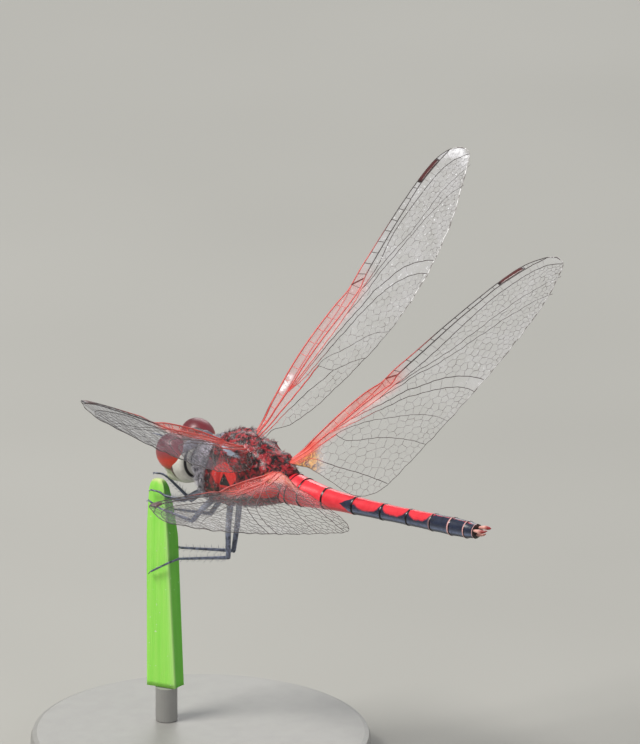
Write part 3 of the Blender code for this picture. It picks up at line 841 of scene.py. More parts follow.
def film_marks(name, net, plan, to_rim):
    """Where the film is stained, flushed red, painted with white glints, hazy or darkened by painted shade,
    as numbers from 0 to 1.
    """
    amber, along_front, round_root, haze_low, haze_more, shaded = FILM_TONES[name]
    nodus, s = NODUS[net["kind"]], plan[:, 0] / net["length"]
    from_root = np.hypot(s / 0.11, plan[:, 1] / net["length"] / 0.20)
    behind = y_on(net["line"]["radius"], plan[:, 0]) - plan[:, 1]
    blush = along_front * (1 - fade(nodus, nodus + 0.10, s)) * (1 - fade(0.1, 1.2, behind))
    haze_from, haze_to = (0.05, 0.45) if name.endswith("left") else (0.2, 0.6)
    silver = np.zeros(len(plan))
    # white painted glints on the right forewing: a patch near the root and a band along the rim by the tip
    if name == "forewing_right":
        front = y_on(net["costa"], plan[:, 0]) - plan[:, 1]
        painted_root_glint = (1 - fade(0.022, 0.036, np.abs(s - 0.148))) * (1 - fade(0.45, 0.75, front))
        silver = np.maximum(0.9 * fade(0.90, 0.97, s) * (1 - fade(0.5, 1.3, to_rim)), painted_root_glint)
    return {"stain": amber * (1 - fade(0.45, 0.9, from_root)),
            "blush": np.maximum(blush, round_root * (1 - fade(0.6, 1.9, from_root))),
            "silver": silver, "haze": haze_low + haze_more * fade(haze_from, haze_to, s),
            "shade": shaded * fade(0.30, 0.55, s)}


def film_of(name, net):
    rim = even_line(looped(net["rim"]), RIM_STEP)[:-1]
    n = len(rim)
    xs, ys = np.meshgrid(*(np.arange(rim[:, i].min(), rim[:, i].max(), FILM_STEP) for i in (0, 1)))
    xs[::2] += FILM_STEP / 2
    grid = np.column_stack([xs.ravel(), ys.ravel()])
    grid = grid[inside(rim, grid)]
    grid = grid[nearest(looped(rim), grid)[1] > 0.14]
    every, fence = [Vector(p) for p in np.vstack([rim, grid])], [(i, (i + 1) % n) for i in range(n)]
    plan, _, triangles, _, _, _ = delaunay_2d_cdt(every, fence, [], 1, 1e-6)
    plan, k = np.array(plan), len(plan)
    edges = {edge: None for a, b, c in triangles for edge in ((a, b), (b, c), (c, a))}
    faces = [tuple(t) for t in triangles] + [(c + k, b + k, a + k) for a, b, c in triangles]
    faces += [(b, a, a + k, b + k) for a, b in edges if (b, a) not in edges]
    points = np.vstack([place_wing(name, net, plan, above) for above in (FILM_HALF, -FILM_HALF)])
    marks = film_marks(name, net, plan, nearest(looped(rim), plan)[1])
    both_skins = {mark: np.r_[values, values] for mark, values in marks.items()}
    return body_piece(name + "_film", (points, faces), "wing_film", both_skins)


print("film", 2 * FILM_HALF, "mm thick with a point every", FILM_STEP, "mm")

# %% [markdown]
# The veins of a real wing are hollow tubes that carry blood and air. Here the whole net is one mesh
# of bare edges that keeps a width on each point, and the tree made above turns it into tubes.

# %% Wing veins
# how far each wing's finest walls and rim take the pale tone and its painted white glints
VEIN_PALE_AND_PAINTED_GLINT = {"forewing_left": 0.1, "forewing_right": 1.0, "hindwing_left": 0.1, "hindwing_right": 0.7}
VEIN_WIDTHS = {  # at the root and at the tip
    "radius": (0.075, 0.034), "subcosta": (0.050, 0.04), "first_fork": (0.046, 0.030),
    "bow_vein": (0.045, 0.026), "stem_vein": (0.065, 0.05), "middle_vein": (0.030, 0.016),
    "rear_vein": (0.030, 0.016), "anal_vein": (0.034, 0.016)}
OTHER_WIDTHS = (0.038, 0.022)
CROSS_VEIN, CELL_WALL, NODUS_VEIN = 0.030, 0.0165, 0.07


def veins_of(name, net):
    points, edges, width, red = [], [], [], []
    length, nodus, costa, radius = net["length"], NODUS[net["kind"]], net["costa"], net["line"]["radius"]

    def run(line, thick, tone):
        start = len(points)
        points.extend(line)
        edges.extend((start + i, start + i + 1) for i in range(len(line) - 1))
        width.extend(np.broadcast_to(thick, len(line)))
        red.extend(np.broadcast_to(tone, len(line)))

    def red_fade(line, start, end):
        """1 up to this share of the wing's length from its root, and 0 beyond the other."""
        return 1 - fade(start, end, np.hypot(line[:, 0], line[:, 1]) / length)

    for label, line in net["line"].items():
        at_root, at_tip = VEIN_WIDTHS.get(label, OTHER_WIDTHS)
        ends = (0.12, 0.36)
        if label in ("subcosta", "radius", "first_fork"):
            ends = (nodus - 0.04, nodus + 0.10)
        elif label in ("anal_vein", "rear_vein", "middle_vein"):
            ends = (0.05, 0.16)
        run(line, at_root + (at_tip - at_root) * np.clip(line[:, 0] / length, 0, 1), red_fade(line, *ends))
    s = costa[:, 0] / length
    run(costa, 0.075 - 0.040 * np.clip(s, 0, 1), 0.9 * (1 - fade(nodus, nodus + 0.28, s)))
    run(ladder(costa, radius, [nodus * length], 0.55)[0], NODUS_VEIN, 0.25)
    rim = even_line(looped(net["rim"]), 0.35)
    # painted white glints along the rear rim of the outer wing, which is also a little wider there
    painted_rim_glint = fade(0.30, 0.55, rim[:, 0] / length) * (rim[:, 1] < y_on(radius, rim[:, 0]))
    rim_points = slice(len(points), len(points) + len(rim))
    run(rim, 0.024 + 0.014 * painted_rim_glint, 0.3 * red_fade(rim, 0.03, 0.1))
    for wall in net["thick"]:
        run(wall, CROSS_VEIN, 0.9 * red_fade(wall, nodus * 0.85, nodus))
    for wall in net["thin"]:
        run(wall, CELL_WALL, 0.7 * red_fade(wall, 0.05, 0.14))
    # the mark pale: a paler tone with painted glints on the finest walls, and painted glints on the rim
    pale = 0.5 * (1 - fade(0.018, 0.030, np.array(width)))
    pale[rim_points] = painted_rim_glint
    mesh = new_mesh("net", to_world(place_wing(name, net, np.array(points))), edges)
    set_mark(mesh, "width", np.array(width, np.float32) * MM)
    set_mark(mesh, "red", red)
    set_mark(mesh, "pale", pale * VEIN_PALE_AND_PAINTED_GLINT[name])
    return run_tree(name + "_veins", new_object("net", mesh), tube_tree, "wing_veins", Sides=5)


print("veins from", CELL_WALL, "to", max(at_root for at_root, _ in VEIN_WIDTHS.values()), "mm in radius")

# %% [markdown]
# The dark spot near each tip is a small cushion. It is made as a grid between the front edge and
# the radius, puffed up towards its middle. Then every wing gets its film, its veins and its spot.

# %% Wing spots and all four wings
SPOT_ROWS, SPOT_COLUMNS = 15, 9


def spot_of(name, net):
    """The pterostigma: a thickened lozenge between the front edge and the radius."""
    start, end = (share * net["length"] for share in SPOTS[net["kind"]])
    plan = []
    for share in np.linspace(0, 1, SPOT_ROWS):
        x = start + (end - start) * share
        ys = np.linspace(y_on(net["costa"], x), y_on(net["line"]["radius"], x), SPOT_COLUMNS)
        plan += [(x, y) for y in ys]
    plan, k = np.array(plan), len(plan)
    row, column = np.divmod(np.arange(k), SPOT_COLUMNS)
    edge = np.maximum(np.abs(row / (SPOT_ROWS // 2) - 1), np.abs(column / (SPOT_COLUMNS // 2) - 1))
    puff = 0.09 * (1 - edge ** 4)
    points = np.vstack([place_wing(name, net, plan, above) for above in (0.02 + puff, -0.02 - 0.6 * puff)])
    c = SPOT_COLUMNS
    quads = [(a, a + c, a + c + 1, a + 1) for a in range(k - c) if column[a] < c - 1]
    faces = [face for quad in quads for face in (quad, tuple(i + k for i in quad[::-1]))]
    border = [*range(0, k, c), *range(k - c + 1, k), *range(k - c - 1, 0, -c), *range(c - 2, 0, -1)]
    faces += [(b, a, a + k, b + k) for a, b in zip(border, border[1:] + border[:1])]
    dark = fade(0.72, 0.98, edge)
    return body_piece(name + "_spot", (points, faces), "wing_spot", {"edge": np.r_[dark, dark]})


for wing in WING_POSES:
    net = NETS[wing[:4]]
    settle(film_of(wing, net), "wing_film", wing)
    settle(veins_of(wing, net), "wing_film")
    settle(spot_of(wing, net), "wing_film")

# %% [markdown]
# ## The abdomen
# Ten rings of hard plate slide into each other like a telescope. Each is a little waisted, flares at
# its rear rim and carries a fine keel along its back. One lofted skin makes them all, because the
# rings share one axis. The marks "ring" and "across" tell the material where it is: ring counts
# the segments from the front, across runs from 0 on the back to 1 on the belly.

# %% Abdomen skin
ABDOMEN_JOINTS = (  # each joint's place along the axis, radius, height and lean
    (4.0, 1.28, 0.05, 0.45), (4.6, 1.32, 0.0, 0.30), (5.9, 1.20, -0.08, 0.10), (8.4, 0.90, -0.16, 0.0),
    (11.75, 0.76, -0.20, 0.0), (14.97, 0.70, -0.18, 0.0), (17.97, 0.70, -0.12, 0.0),
    (20.7, 0.74, -0.07, 0.0), (22.9, 0.77, -0.04, 0.0), (24.6, 0.72, -0.02, 0.0), (25.5, 0.60, 0.0, 0.0))
RING_SHARES = np.r_[0.0, 0.015, 0.04, np.linspace(0.09, 0.88, 18), 0.93, 0.965, 0.985, 1.0]
ABDOMEN_AROUND = 72


def abdomen_skin():
    angle = round_angles(ABDOMEN_AROUND) + np.pi
    from_top = np.abs(np.angle(np.exp(1j * angle)))
    ridge = 0.030 * bell(from_top - 1.75, 0.12)
    flat = -0.10 * bell(from_top - np.pi, 0.55)
    rings, ring_mark = [], []
    for number, (front, back) in enumerate(zip(ABDOMEN_JOINTS, ABDOMEN_JOINTS[1:])):
        keel = 0.05 * bell(from_top, 0.10) * (1 < number < 9)
        for share in RING_SHARES:
            place, radius, height, lean = (f + (b - f) * share for f, b in zip(front, back))
            waist = 1 - 0.035 * math.sin(math.pi * share) * (number > 2)
            rim = 0.045 * fade(0.80, 0.985, share) - 0.11 * fade(0.985, 1.0, share)
            rim = rim - 0.06 * (1 - fade(0.0, 0.04, share)) * (number > 0)
            r = radius * (waist + rim) * (1 + keel + ridge + flat)
            up = r * np.cos(angle)
            rings.append(np.column_stack([r * np.sin(angle), place + lean * up, height + up]))
            ring_mark.append(number + share)
    marks = {"ring": np.r_[np.repeat(ring_mark, ABDOMEN_AROUND), ring_mark[0], ring_mark[-1]],
             "across": np.r_[np.tile(from_top / np.pi, len(rings)), 0.5, 0.5]}
    return body_piece("abdomen_skin", loft(rings), "abdomen_plates", marks)


print("abdomen:", len(ABDOMEN_JOINTS) - 1, "rings with", len(RING_SHARES), "rows of points each")

# %% [markdown]
# The colour of the rings follows their marks instead of a painted texture, so it stays sharp at any
# distance: red all round in front, then a red saddle on each ring that shrinks until the tail is
# black. A little noise makes the border between the two ragged, as it is on the insect.

# %% Abdomen finish
plates = Look("abdomen_plates", Roughness=0.32, Specular_IOR_Level=0.5, Coat_Weight=0.25, Coat_Roughness=0.2)
ring, across = plates.mark("ring"), plates.mark("across")
tenth, share = plates.maths("DIVIDE", ring, 10.0), plates.maths("FRACT", ring)
wobble = plates.swing(plates.noise(0.5, 3), 0.16)
# how far round the red reaches: all of rings 1 to 4, then an ever smaller half ellipse on the back
width = plates.steps(tenth, (0.0, 1.0), (0.395, 1.0), (0.405, 0.46), (0.45, 0.42), (0.69, 0.34), (0.71, 0.0))
arch = plates.maths("POWER", plates.maths("ABSOLUTE", plates.swing(share, 2.1)), 2.4)
arch = plates.maths("SQRT", plates.maths("MAXIMUM", plates.minus(1.0, arch), 0.0))
reach = plates.mix(plates.steps(tenth, (0.39, 1.0), (0.41, 0.0)), arch, "FFFFFF")
inner = plates.minus(plates.times(width, reach), plates.plus(across, wobble))
red_share = plates.rise(plates.plus(plates.times(inner, 4.0), 0.5), 0.35, 0.65)
# ring 4 keeps a black wedge at the rear of each side, pointing forwards
aside = plates.times(plates.maths("ABSOLUTE", plates.minus(across, 0.36)), 1.3)
wedge = plates.minus(plates.plus(share, plates.times(wobble, 0.8)), plates.plus(aside, 0.60))
fourth = plates.steps(tenth, (0.299, 0.0), (0.301, 1.0), (0.399, 1.0), (0.401, 0.0))
wedge = plates.times(fourth, plates.rise(plates.plus(wedge, 0.5), 0.49, 0.52))
red_share = plates.times(red_share, plates.minus(1.0, wedge))
dark = plates.cloudy(0.4, 3, "0C0E16", "2C3652")
# a painted bluish highlight along the lower flanks of the dark rings
flank = plates.steps(across, (0.42, 0.0), (0.55, 1.0), (0.66, 0.0))
dark = plates.mix(plates.times(flank, plates.noise(0.3, 4)), dark, "8492B4")
body = plates.mix(red_share, dark, plates.cloudy(0.7, 4, "D01A2A", "F8424E"))
body = plates.mix(plates.steps(share, (0.0, 1.0), (0.035, 0.0), (0.955, 0.0), (0.985, 1.0)), body, "120B0D")
rim = plates.steps(share, (0.90, 0.0), (0.93, 1.0), (0.975, 1.0), (0.99, 0.0))
plates.link(plates.mix(plates.times(plates.rise(tenth, 0.69, 0.71), rim), body, "D9A3A0"))
plates.bump(plates.noise(0.25, 3), 0.02, 0.35, plates.bump(plates.cells(0.09), 0.012, 0.4))
settle(abdomen_skin(), "abdomen_red", *[f"abdomen_{n}" for n in range(1, 11)])

# %% [markdown]
# At the tail a male carries two slim claspers and a short plate between them below. They are
# curved horns, thickest before their tips, so each is a tube along a bent line.

# %% Tail claspers
CAP_SHARES = (0.3, 0.7, 0.92)


def tube(path, radii, around=20, flat=1.0):
    """A closed tube along a path, rounded at both ends, with a radius for each key point."""
    line = smooth_rows(np.column_stack([path, radii]), 8)
    centre, radius = line[:, :3], np.maximum(line[:, 3], 0.004)
    tangent = np.gradient(centre, axis=0)
    tangent /= np.linalg.norm(tangent, axis=1)[:, None]
    side = np.cross(tangent, (0.0, 0.0, 1.0) if abs(tangent[0, 2]) < 0.9 else (1.0, 0.0, 0.0))
    side /= np.linalg.norm(side, axis=1)[:, None]
    over = np.cross(side, tangent)
    angle = round_angles(around)
    rings = [c + r * (np.outer(np.cos(angle), s) + flat * np.outer(np.sin(angle), o))
             for c, r, s, o in zip(centre, radius, side, over)]

    def cap(end, way, shares):
        """Ever smaller rings that round off one end."""
        reach = way * tangent[end] * radius[end] * 0.8
        return [centre[end] + (rings[end] - centre[end]) * k + reach * math.sqrt(1 - k * k) for k in shares]

    points, faces = loft(cap(0, -1, CAP_SHARES) + rings + cap(-1, 1, CAP_SHARES[::-1]))
    return points, outward(points, faces)


def tail_piece():
    horn_path = np.array([(0.30, 25.35, 0.20), (0.34, 25.75, 0.26), (0.38, 26.2, 0.30), (0.34, 26.6, 0.34),
                          (0.24, 26.95, 0.42)])
    shapes = [tube(horn_path * (side, 1, 1), (0.10, 0.13, 0.17, 0.14, 0.04)) for side in (1, -1)]
    plate_path = [(0, 25.3, -0.24), (0, 25.8, -0.26), (0, 26.25, -0.16), (0, 26.45, -0.05)]
    shapes.append(tube(plate_path, (0.20, 0.20, 0.13, 0.05), flat=0.6))
    points, faces = joined(shapes)
    marks = {"along": fade(25.4, 26.9, points[:, 1])}
    return body_piece("tail_claspers", (points, faces), "clasper_horn", marks)


horn = Look("clasper_horn", Roughness=0.35, Specular_IOR_Level=0.5)
ragged = horn.swing(horn.noise(0.3, 3), 0.3)
horn.link(horn.painted(horn.cloudy(0.25, 3, "D88A84", "F0C8B8"), "8E2A2C", "along", 0.45, 0.85, ragged))
horn.bump(horn.noise(0.12, 3), 0.02, 0.5)
settle(tail_piece(), "tail_pink", "cercus_left", "cercus_right", "epiproct")

# %% [markdown]
# ## The thorax
# The thorax is the engine room: two fused boxes, skewed backwards so that the legs sit far forward
# and the wings far back. Seams run slantwise down its sides, a keel runs up its front and small
# humps and dents lie between the wing roots. A dense loft takes these as shifts along its normals.

# %% Thorax form
THORAX_RINGS = (  # each ring's place, top, bottom, half width and lean
    (-5.35, 2.25, -0.3, 1.1, 0.05), (-5.05, 2.8, -1.1, 1.7, 0.15), (-4.25, 3.4, -1.7, 2.1, 0.30),
    (-2.95, 4.0, -2.1, 2.25, 0.40), (-1.3, 4.2, -2.3, 2.3, 0.45), (0.3, 3.65, -2.2, 2.25, 0.45),
    (1.9, 2.9, -1.95, 2.1, 0.45), (3.2, 2.2, -1.6, 1.75, 0.45), (4.3, 1.6, -1.3, 1.3, 0.45))
THORAX_MIDDLE, THORAX_FULLNESS, THORAX_AROUND, THORAX_SLOPE = 0.9, 0.75, 128, 0.42
HIPS = {"fore": (0.6, -5.0, -1.25), "mid": (0.85, -4.2, -1.8), "hind": (0.6, -2.9, -2.2)}
SEAMS = (((-4.6, -1.3), (-2.5, 3.3)), ((-3.0, -2.0), (-0.6, 3.5)), ((-0.9, -2.2), (1.6, 2.6)),
         ((1.3, -1.9), (3.4, 1.6)))
HUMPS = (  # place, width and height; a dent has a height below 0
    ((0, -1.5, 4.2), 0.9, 0.10), ((0, 0.05, 3.8), 0.42, 0.30), ((0, 1.5, 3.15), 0.55, 0.26),
    ((0, 2.7, 2.5), 0.36, 0.26), ((0, 0.70, 3.5), 0.26, -0.26), ((0, 2.15, 2.85), 0.24, -0.22),
    ((1.35, -0.2, 3.8), 0.50, 0.24), ((1.5, 3.1, 2.15), 0.45, 0.24), ((0.80, -1.0, 4.1), 0.28, 0.16),
    ((0.72, 0.25, 3.7), 0.26, 0.20), ((0.95, 1.15, 3.3), 0.30, 0.20), ((0.75, 2.1, 2.8), 0.26, 0.18),
    ((1.05, 0.65, 3.4), 0.20, -0.16), ((0.60, -0.45, 4.0), 0.18, -0.16), ((0.45, 1.0, 3.4), 0.18, -0.14),
    ((1.55, 1.5, 2.9), 0.28, 0.18), ((1.3, 2.2, 2.6), 0.24, -0.15), ((1.95, 0.4, 3.0), 0.30, -0.14),
    ((1.85, 1.0, 2.9), 0.22, 0.14))
HUMP_SCALE = 1.3


def seam_distance(points, seam):
    return nearest(smooth_rows(seam, 4), points[:, 1:])[1]


def grid_normals(grid):
    normal = np.cross(np.gradient(grid, axis=0), np.roll(grid, -1, axis=1) - np.roll(grid, 1, axis=1))
    normal /= np.linalg.norm(normal, axis=2)[:, :, None] + 1e-12
    outwards = ((grid - grid.mean(1)[:, None]) * normal).sum() > 0
    return normal if outwards else -normal


def thorax_grid():
    rows = smooth_rows(THORAX_RINGS, 16)
    angle = round_angles(THORAX_AROUND) + np.pi
    side = np.sign(np.sin(angle)) * np.abs(np.sin(angle)) ** THORAX_FULLNESS
    rings = []
    for place, top, bottom, half, lean in rows:
        height = (top + bottom) / 2 + (top - bottom) / 2 * np.cos(angle)
        rings.append(np.column_stack([half * side, place + lean * (height - THORAX_MIDDLE), height]))
    grid = np.array(rings)
    flat = grid.reshape(-1, 3)
    mirrored = np.abs(flat) * (1, 0, 0) + flat * (0, 1, 1)
    x, y, z = mirrored.T
    shift = np.zeros(len(flat))
    for centre, wide, high in HUMPS:
        shift += HUMP_SCALE * high * bell(distance_to(mirrored, *centre), wide)
    for hip in HIPS.values():
        shift += 0.30 * bell(distance_to(mirrored, *hip), 0.55)
    for seam in SEAMS:
        far = seam_distance(flat, seam)
        shift += fade(0.7, 1.3, x) * (-0.12 * bell(far, 0.09) + 0.06 * bell(far - 0.28, 0.16))
    shift += 0.14 * bell(x, 0.12) * fade(-1.6, -2.6, y)
    shift += 0.10 * bell(x - 0.95, 0.14) * fade(-2.2, -1.6, y) * fade(2.8, 3.5, z) * fade(0.4, -0.4, y)
    ends = np.r_[np.linspace(0, 1, 8), np.ones(len(rows) - 16), np.linspace(1, 0, 8)]
    shift *= np.repeat(ends, THORAX_AROUND)
    return (flat + grid_normals(grid).reshape(-1, 3) * shift[:, None]).reshape(grid.shape)


print("thorax:", len(THORAX_RINGS), "rings,", len(HUMPS), "humps and dents,", len(SEAMS), "seams a side")

# %% [markdown]
# The thorax is a patchwork: downy grey in front, red plates and black seams on the flanks, a pale
# band below the wings. Each patch is a mark worked out from the place on the body, which is easier
# to change than a painted texture. The skin also gets an unwrap of its own for the down.

# %% Thorax marks and skin
def thorax_marks(points):
    """Where the thorax is downy grey, bright red, black or pale, from the place on it."""
    x, y, z = np.abs(points[:, 0]), points[:, 1], points[:, 2]
    side_view = np.column_stack([y, z])
    flank = fade(0.9, 1.5, x)
    patch = np.abs((y + 1.10 - 0.25 * (z - 1.3)) / 1.45) ** 1.4 + np.abs((z - 1.32) / 1.25) ** 1.4
    patch = 1 - fade(0.75, 1.25, patch ** (1 / 1.4))
    low_rear = 0.85 * (1 - fade(0.7, 1.2, np.hypot((y - 2.3) / 2.2, (z - 0.45) / 0.85)))
    seams = 0.75 * bell(seam_distance(points, SEAMS[0]), 0.18)
    seams = seams + 0.6 * bell(seam_distance(points, SEAMS[2]), 0.20)
    wedge = np.maximum(np.abs(y + 1.09 - 0.2 * (z - 0.95)) - 0.55 * (1.62 - z), np.abs(z - 1.0) - 0.60)
    return {"down": 1 - fade(-4.0, -3.2, y - THORAX_SLOPE * (z - THORAX_MIDDLE)),
            "red_plate": flank * np.maximum(patch, low_rear),
            "black_mark": flank * np.maximum(seams, 1 - fade(-0.12, 0.16, wedge)),
            "pale_band": flank * bell(z - 3.35 + 0.35 * (y + 0.2), 0.28) * bell(y + 0.7, 1.6),
            "amber": flank * bell(distance_to(side_view, 3.6, 1.6), 0.6),
            "plum": flank * bell(np.hypot(y + 2.75, (z - 2.1) / 1.3), 0.55),
            # back marks the top of the thorax, where white glints are painted
            "back": fade(2.6, 3.2, z)}


def thorax_skin():
    grid = thorax_grid()
    shape = loft(grid)
    piece = body_piece("thorax_skin", shape, "thorax_plates", thorax_marks(shape[0]))
    rows, around = grid.shape[:2]
    u, v = np.tile(np.arange(around) / around, rows), np.repeat(np.linspace(0, 1, rows), around)
    unwrap = np.vstack([np.column_stack([u, v, np.zeros(rows * around)]), (0.5, 0, 0), (0.5, 1, 0)])
    set_mark(piece.data, "unwrap", unwrap, "FLOAT_VECTOR")
    return piece


print("thorax marks:", ", ".join(thorax_marks(np.zeros((1, 3)))))

# %% [markdown]
# The finish lays one patch over another, each of two clouded tones. Skin and down share this recipe,
# because on the insect each hair has the colour of the plate that it stands on.

# %% Thorax finish
PATCHES = (  # mark, size of the clouds in it, their two tones, and where it fades in
    ("red_plate", 0.5, "C8161E", "EE3A34", 0.40, 0.62), ("amber", 0.25, "6A3A1C", "E0A13C", 0.45, 0.7),
    ("plum", 0.4, "2A0E24", "6E1436", 0.45, 0.75), ("pale_band", 0.3, "6E7C94", "C6D0DE", 0.32, 0.60))


def body_colours(look, downy):
    """The thorax markings with painted glints on its back, shared by the skin and the down on it."""
    ragged = look.swing(look.noise(0.35, 4), 0.45)
    tone = look.mix(look.rise(look.noise(0.42, 4, 0.6, 0.8), 0.45, 0.58), "16080C",
                    look.cloudy(0.8, 2, "74121C", "B8222C"))
    # painted highlights: small white glints over the back of the thorax
    painted_back_glints = look.times(look.rise(look.noise(0.10, 2), 0.62, 0.72), look.mark("back"))
    tone = look.mix(look.times(painted_back_glints, 0.6), tone, "E8D4D8")
    for mark, size, low_tone, high_tone, low, high in PATCHES:
        tone = look.painted(tone, look.cloudy(size, 3, low_tone, high_tone), mark, low, high, ragged)
    tone = look.painted(tone, "130A0D", "black_mark", 0.50, 0.72, ragged)
    greys = ("3A3640", "A9A3B0")
    if downy:
        greys = ("56525E", "D6D3DA")
        tone = look.mix(look.times(look.rise(look.noise(0.15, 2), 0.35, 0.55), 0.42), tone, "DCD4D8")
    grey = look.mix(look.rise(look.noise(0.35, 4, 0.6, 0.8), 0.38, 0.56), *greys)
    return look.painted(tone, grey, "down", 0.42, 0.66, ragged)


skin = Look("thorax_plates", Roughness=0.38, Specular_IOR_Level=0.5, Coat_Weight=0.15, Coat_Roughness=0.25)
skin.link(body_colours(skin, False))
skin.bump(skin.noise(0.35, 4), 0.09, 0.8, skin.bump(skin.cells(0.12), 0.025, 0.6))
thorax = settle(thorax_skin(), "thorax_skin", "thorax", "prothorax")

# %% [markdown]
# ## The head
# Two great eyes meet on top of the head and leave room for little else: a flat-backed skull
# behind, a round brow in front, and below it the plates of the upper and lower lip. All are
# rounded lumps, so one helper shapes them: a ball with its own radii, rows round the y axis, and
# a rule that pushes its points in or out.

# %% Rounded lumps
def lump(centre, radii, rows, around, shape=None, rear=None):
    """A ball of these radii, its poles at front and back, cut flat at the rear if that place is given.

    shape gives a factor for each point of the unit ball.
    """
    tilt, turn = (np.pi * (np.arange(rows) + 0.5) / rows)[:, None], round_angles(around)
    points, faces = loft(np.stack([np.sin(tilt) * np.sin(turn), -np.cos(tilt) * np.ones(around),
                                   np.sin(tilt) * np.cos(turn)], 2))
    points[-2], points[-1] = (0, -1, 0), (0, 1, 0)
    factor = shape(points)[:, None] if shape else 1.0
    points = np.array(centre) + points * np.array(radii) * factor
    if rear is not None:
        points[:, 1] = np.minimum(points[:, 1], rear + 0.12 * bell(points[:, 0], 1.4))
    return points, outward(points, faces)


print("a lump of 4 rows of 6 has", len(lump((0, 0, 0), (1, 1, 1), 4, 6)[0]), "points")

# %% [markdown]
# Each eye holds thousands of six-sided lenses. They are far too many to model one by one, so a
# smooth ball carries them as a fine cell bump. Its colour is a ramp from pale below to dark red above.

# %% Eyes
EYE_CENTRE, EYE_RADII = np.array((1.45, -7.45, 1.95)), np.array((1.40, 1.55, 1.62))


def eye(name, side):
    centre = EYE_CENTRE * (side, 1, 1)
    points, faces = lump(centre, EYE_RADII, 72, 96)
    share = 0.5 + 0.5 * (points - centre) / EYE_RADII
    marks = {"height": share[:, 2], "rear": share[:, 1]}
    return body_piece(name + "_ball", (points, faces), "eye_facets", marks)


gem = Look("eye_facets", Roughness=0.42, Specular_IOR_Level=0.5, Coat_Weight=0.25, Coat_Roughness=0.35)
height = gem.plus(gem.mark("height"), gem.swing(gem.noise(0.7, 3), 0.10))
height = gem.minus(height, gem.times(gem.mark("rear"), 0.06))
tone = gem.steps(height, (0.02, "8A7A60"), (0.10, "A8926E"), (0.145, "5A2A1C"), (0.19, "C8421E"),
                 (0.32, "F0481E"), (0.46, "D83822"), (0.56, "A8403C"), (0.66, "96404A"),
                 (0.85, "7C2A34"), (1.0, "641E28"))
gem.link(gem.mix(gem.times(gem.rise(gem.cells(0.16), 0.0, 0.5), 0.18), tone, "2A0A0C"))
gem.bump(gem.cells(0.055, "SMOOTH_F1"), 0.006, 0.5)
for name, side in (("eye_left", 1), ("eye_right", -1)):
    settle(eye(name, side), "eye", name)

# %% [markdown]
# Behind the eyes the skull is hollowed for the neck, with a raised rim, a black middle and pale
# temples with a row of spots. Three closed lumps and a neck tube overlap inside, as cast parts would.

# %% Skull
TEMPLE_SPOTS = ((2.3, 2.0), (2.4, 1.1), (2.15, 0.2), (1.7, -0.4))


def skull_form(u):
    """A raised rim round the back of the skull and a hollow where the neck sits."""
    hollow = -0.05 * bell(np.linalg.norm(u[:, [0, 2]], axis=1), 0.4) * (u[:, 1] > 0.6)
    return 1 + 0.05 * bell(u[:, 1] - 0.52, 0.16) + hollow


def skull():
    shapes = [lump((0, -6.75, 1.15), (2.6, 1.35, 2.2), 48, 96, skull_form, rear=-5.75),
              lump((0, -7.65, -0.55), (1.45, 1.45, 0.8), 32, 64,
                   lambda u: 1 + 0.04 * bell(u[:, 0], 0.12) * (u[:, 2] < 0)),
              lump((0, -6.35, 3.15), (0.42, 0.42, 0.30), 24, 32),
              tube([(0, -6.2, 1.1), (0, -5.6, 1.1), (0, -5.0, 1.0)], (0.55, 0.5, 0.6))]
    points, faces = joined(shapes)
    x, y, z = np.abs(points[:, 0]), points[:, 1], points[:, 2]
    rear, wide = fade(-6.35, -5.95, y), np.hypot(x / 2.6, (z - 1.15) / 2.2)
    temple = fade(-7.0, -6.5, y) * fade(1.6, 2.2, x) * (1 - fade(2.2, 2.9, z))
    temple = np.maximum(temple, rear * fade(0.50, 0.60, wide)) * (1 - fade(2.0, 2.6, z))
    black = rear * np.maximum(1 - fade(0.50, 0.60, wide), bell(wide - 0.76, 0.052))
    side_view = np.column_stack([x, z])
    marks = {"rear": np.maximum(black, fade(2.9, 3.2, z) * fade(-6.9, -6.5, y)), "temple": temple,
             "hoary": rear * fade(2.0, 2.6, z) * (1 - fade(2.9, 3.2, z)), "low": 1 - fade(-0.6, 0.4, z),
             "spots": rear * sum(bell(distance_to(side_view, *spot), 0.24) for spot in TEMPLE_SPOTS)}
    return body_piece("skull_skin", (points, faces), "skull_plates", marks)


bone = Look("skull_plates", Roughness=0.42, Specular_IOR_Level=0.5, Coat_Weight=0.1)
patch = bone.swing(bone.noise(0.4, 3), 0.5)
tone = bone.cloudy(0.4, 3, "2A1214", "5A2420")
tone = bone.painted(tone, bone.cloudy(0.3, 3, "B9BCA8", "E0E0D2"), "low", 0.4, 0.7, patch)
tone = bone.painted(tone, bone.cloudy(0.3, 3, "C8C6BC", "EDEBE2"), "temple", 0.4, 0.65, patch)
tone = bone.painted(tone, bone.cloudy(0.3, 3, "0E0B0D", "2C2A2C"), "rear", 0.35, 0.65)
tone = bone.painted(tone, bone.cloudy(0.25, 3, "3A3742", "A8A4B2"), "hoary", 0.4, 0.7, patch)
bone.link(bone.painted(tone, "E6E4DC", "spots", 0.35, 0.6))
bone.bump(bone.noise(0.15, 3), 0.03, 0.5)
settle(skull(), "head_skin", "head", "chin", "neck")

# %% [markdown]
# The face is built like a visor of plates that slide over each other when the insect bites. Each
# plate is its own lump, set a little into its neighbour, so the seams between them are real ones.

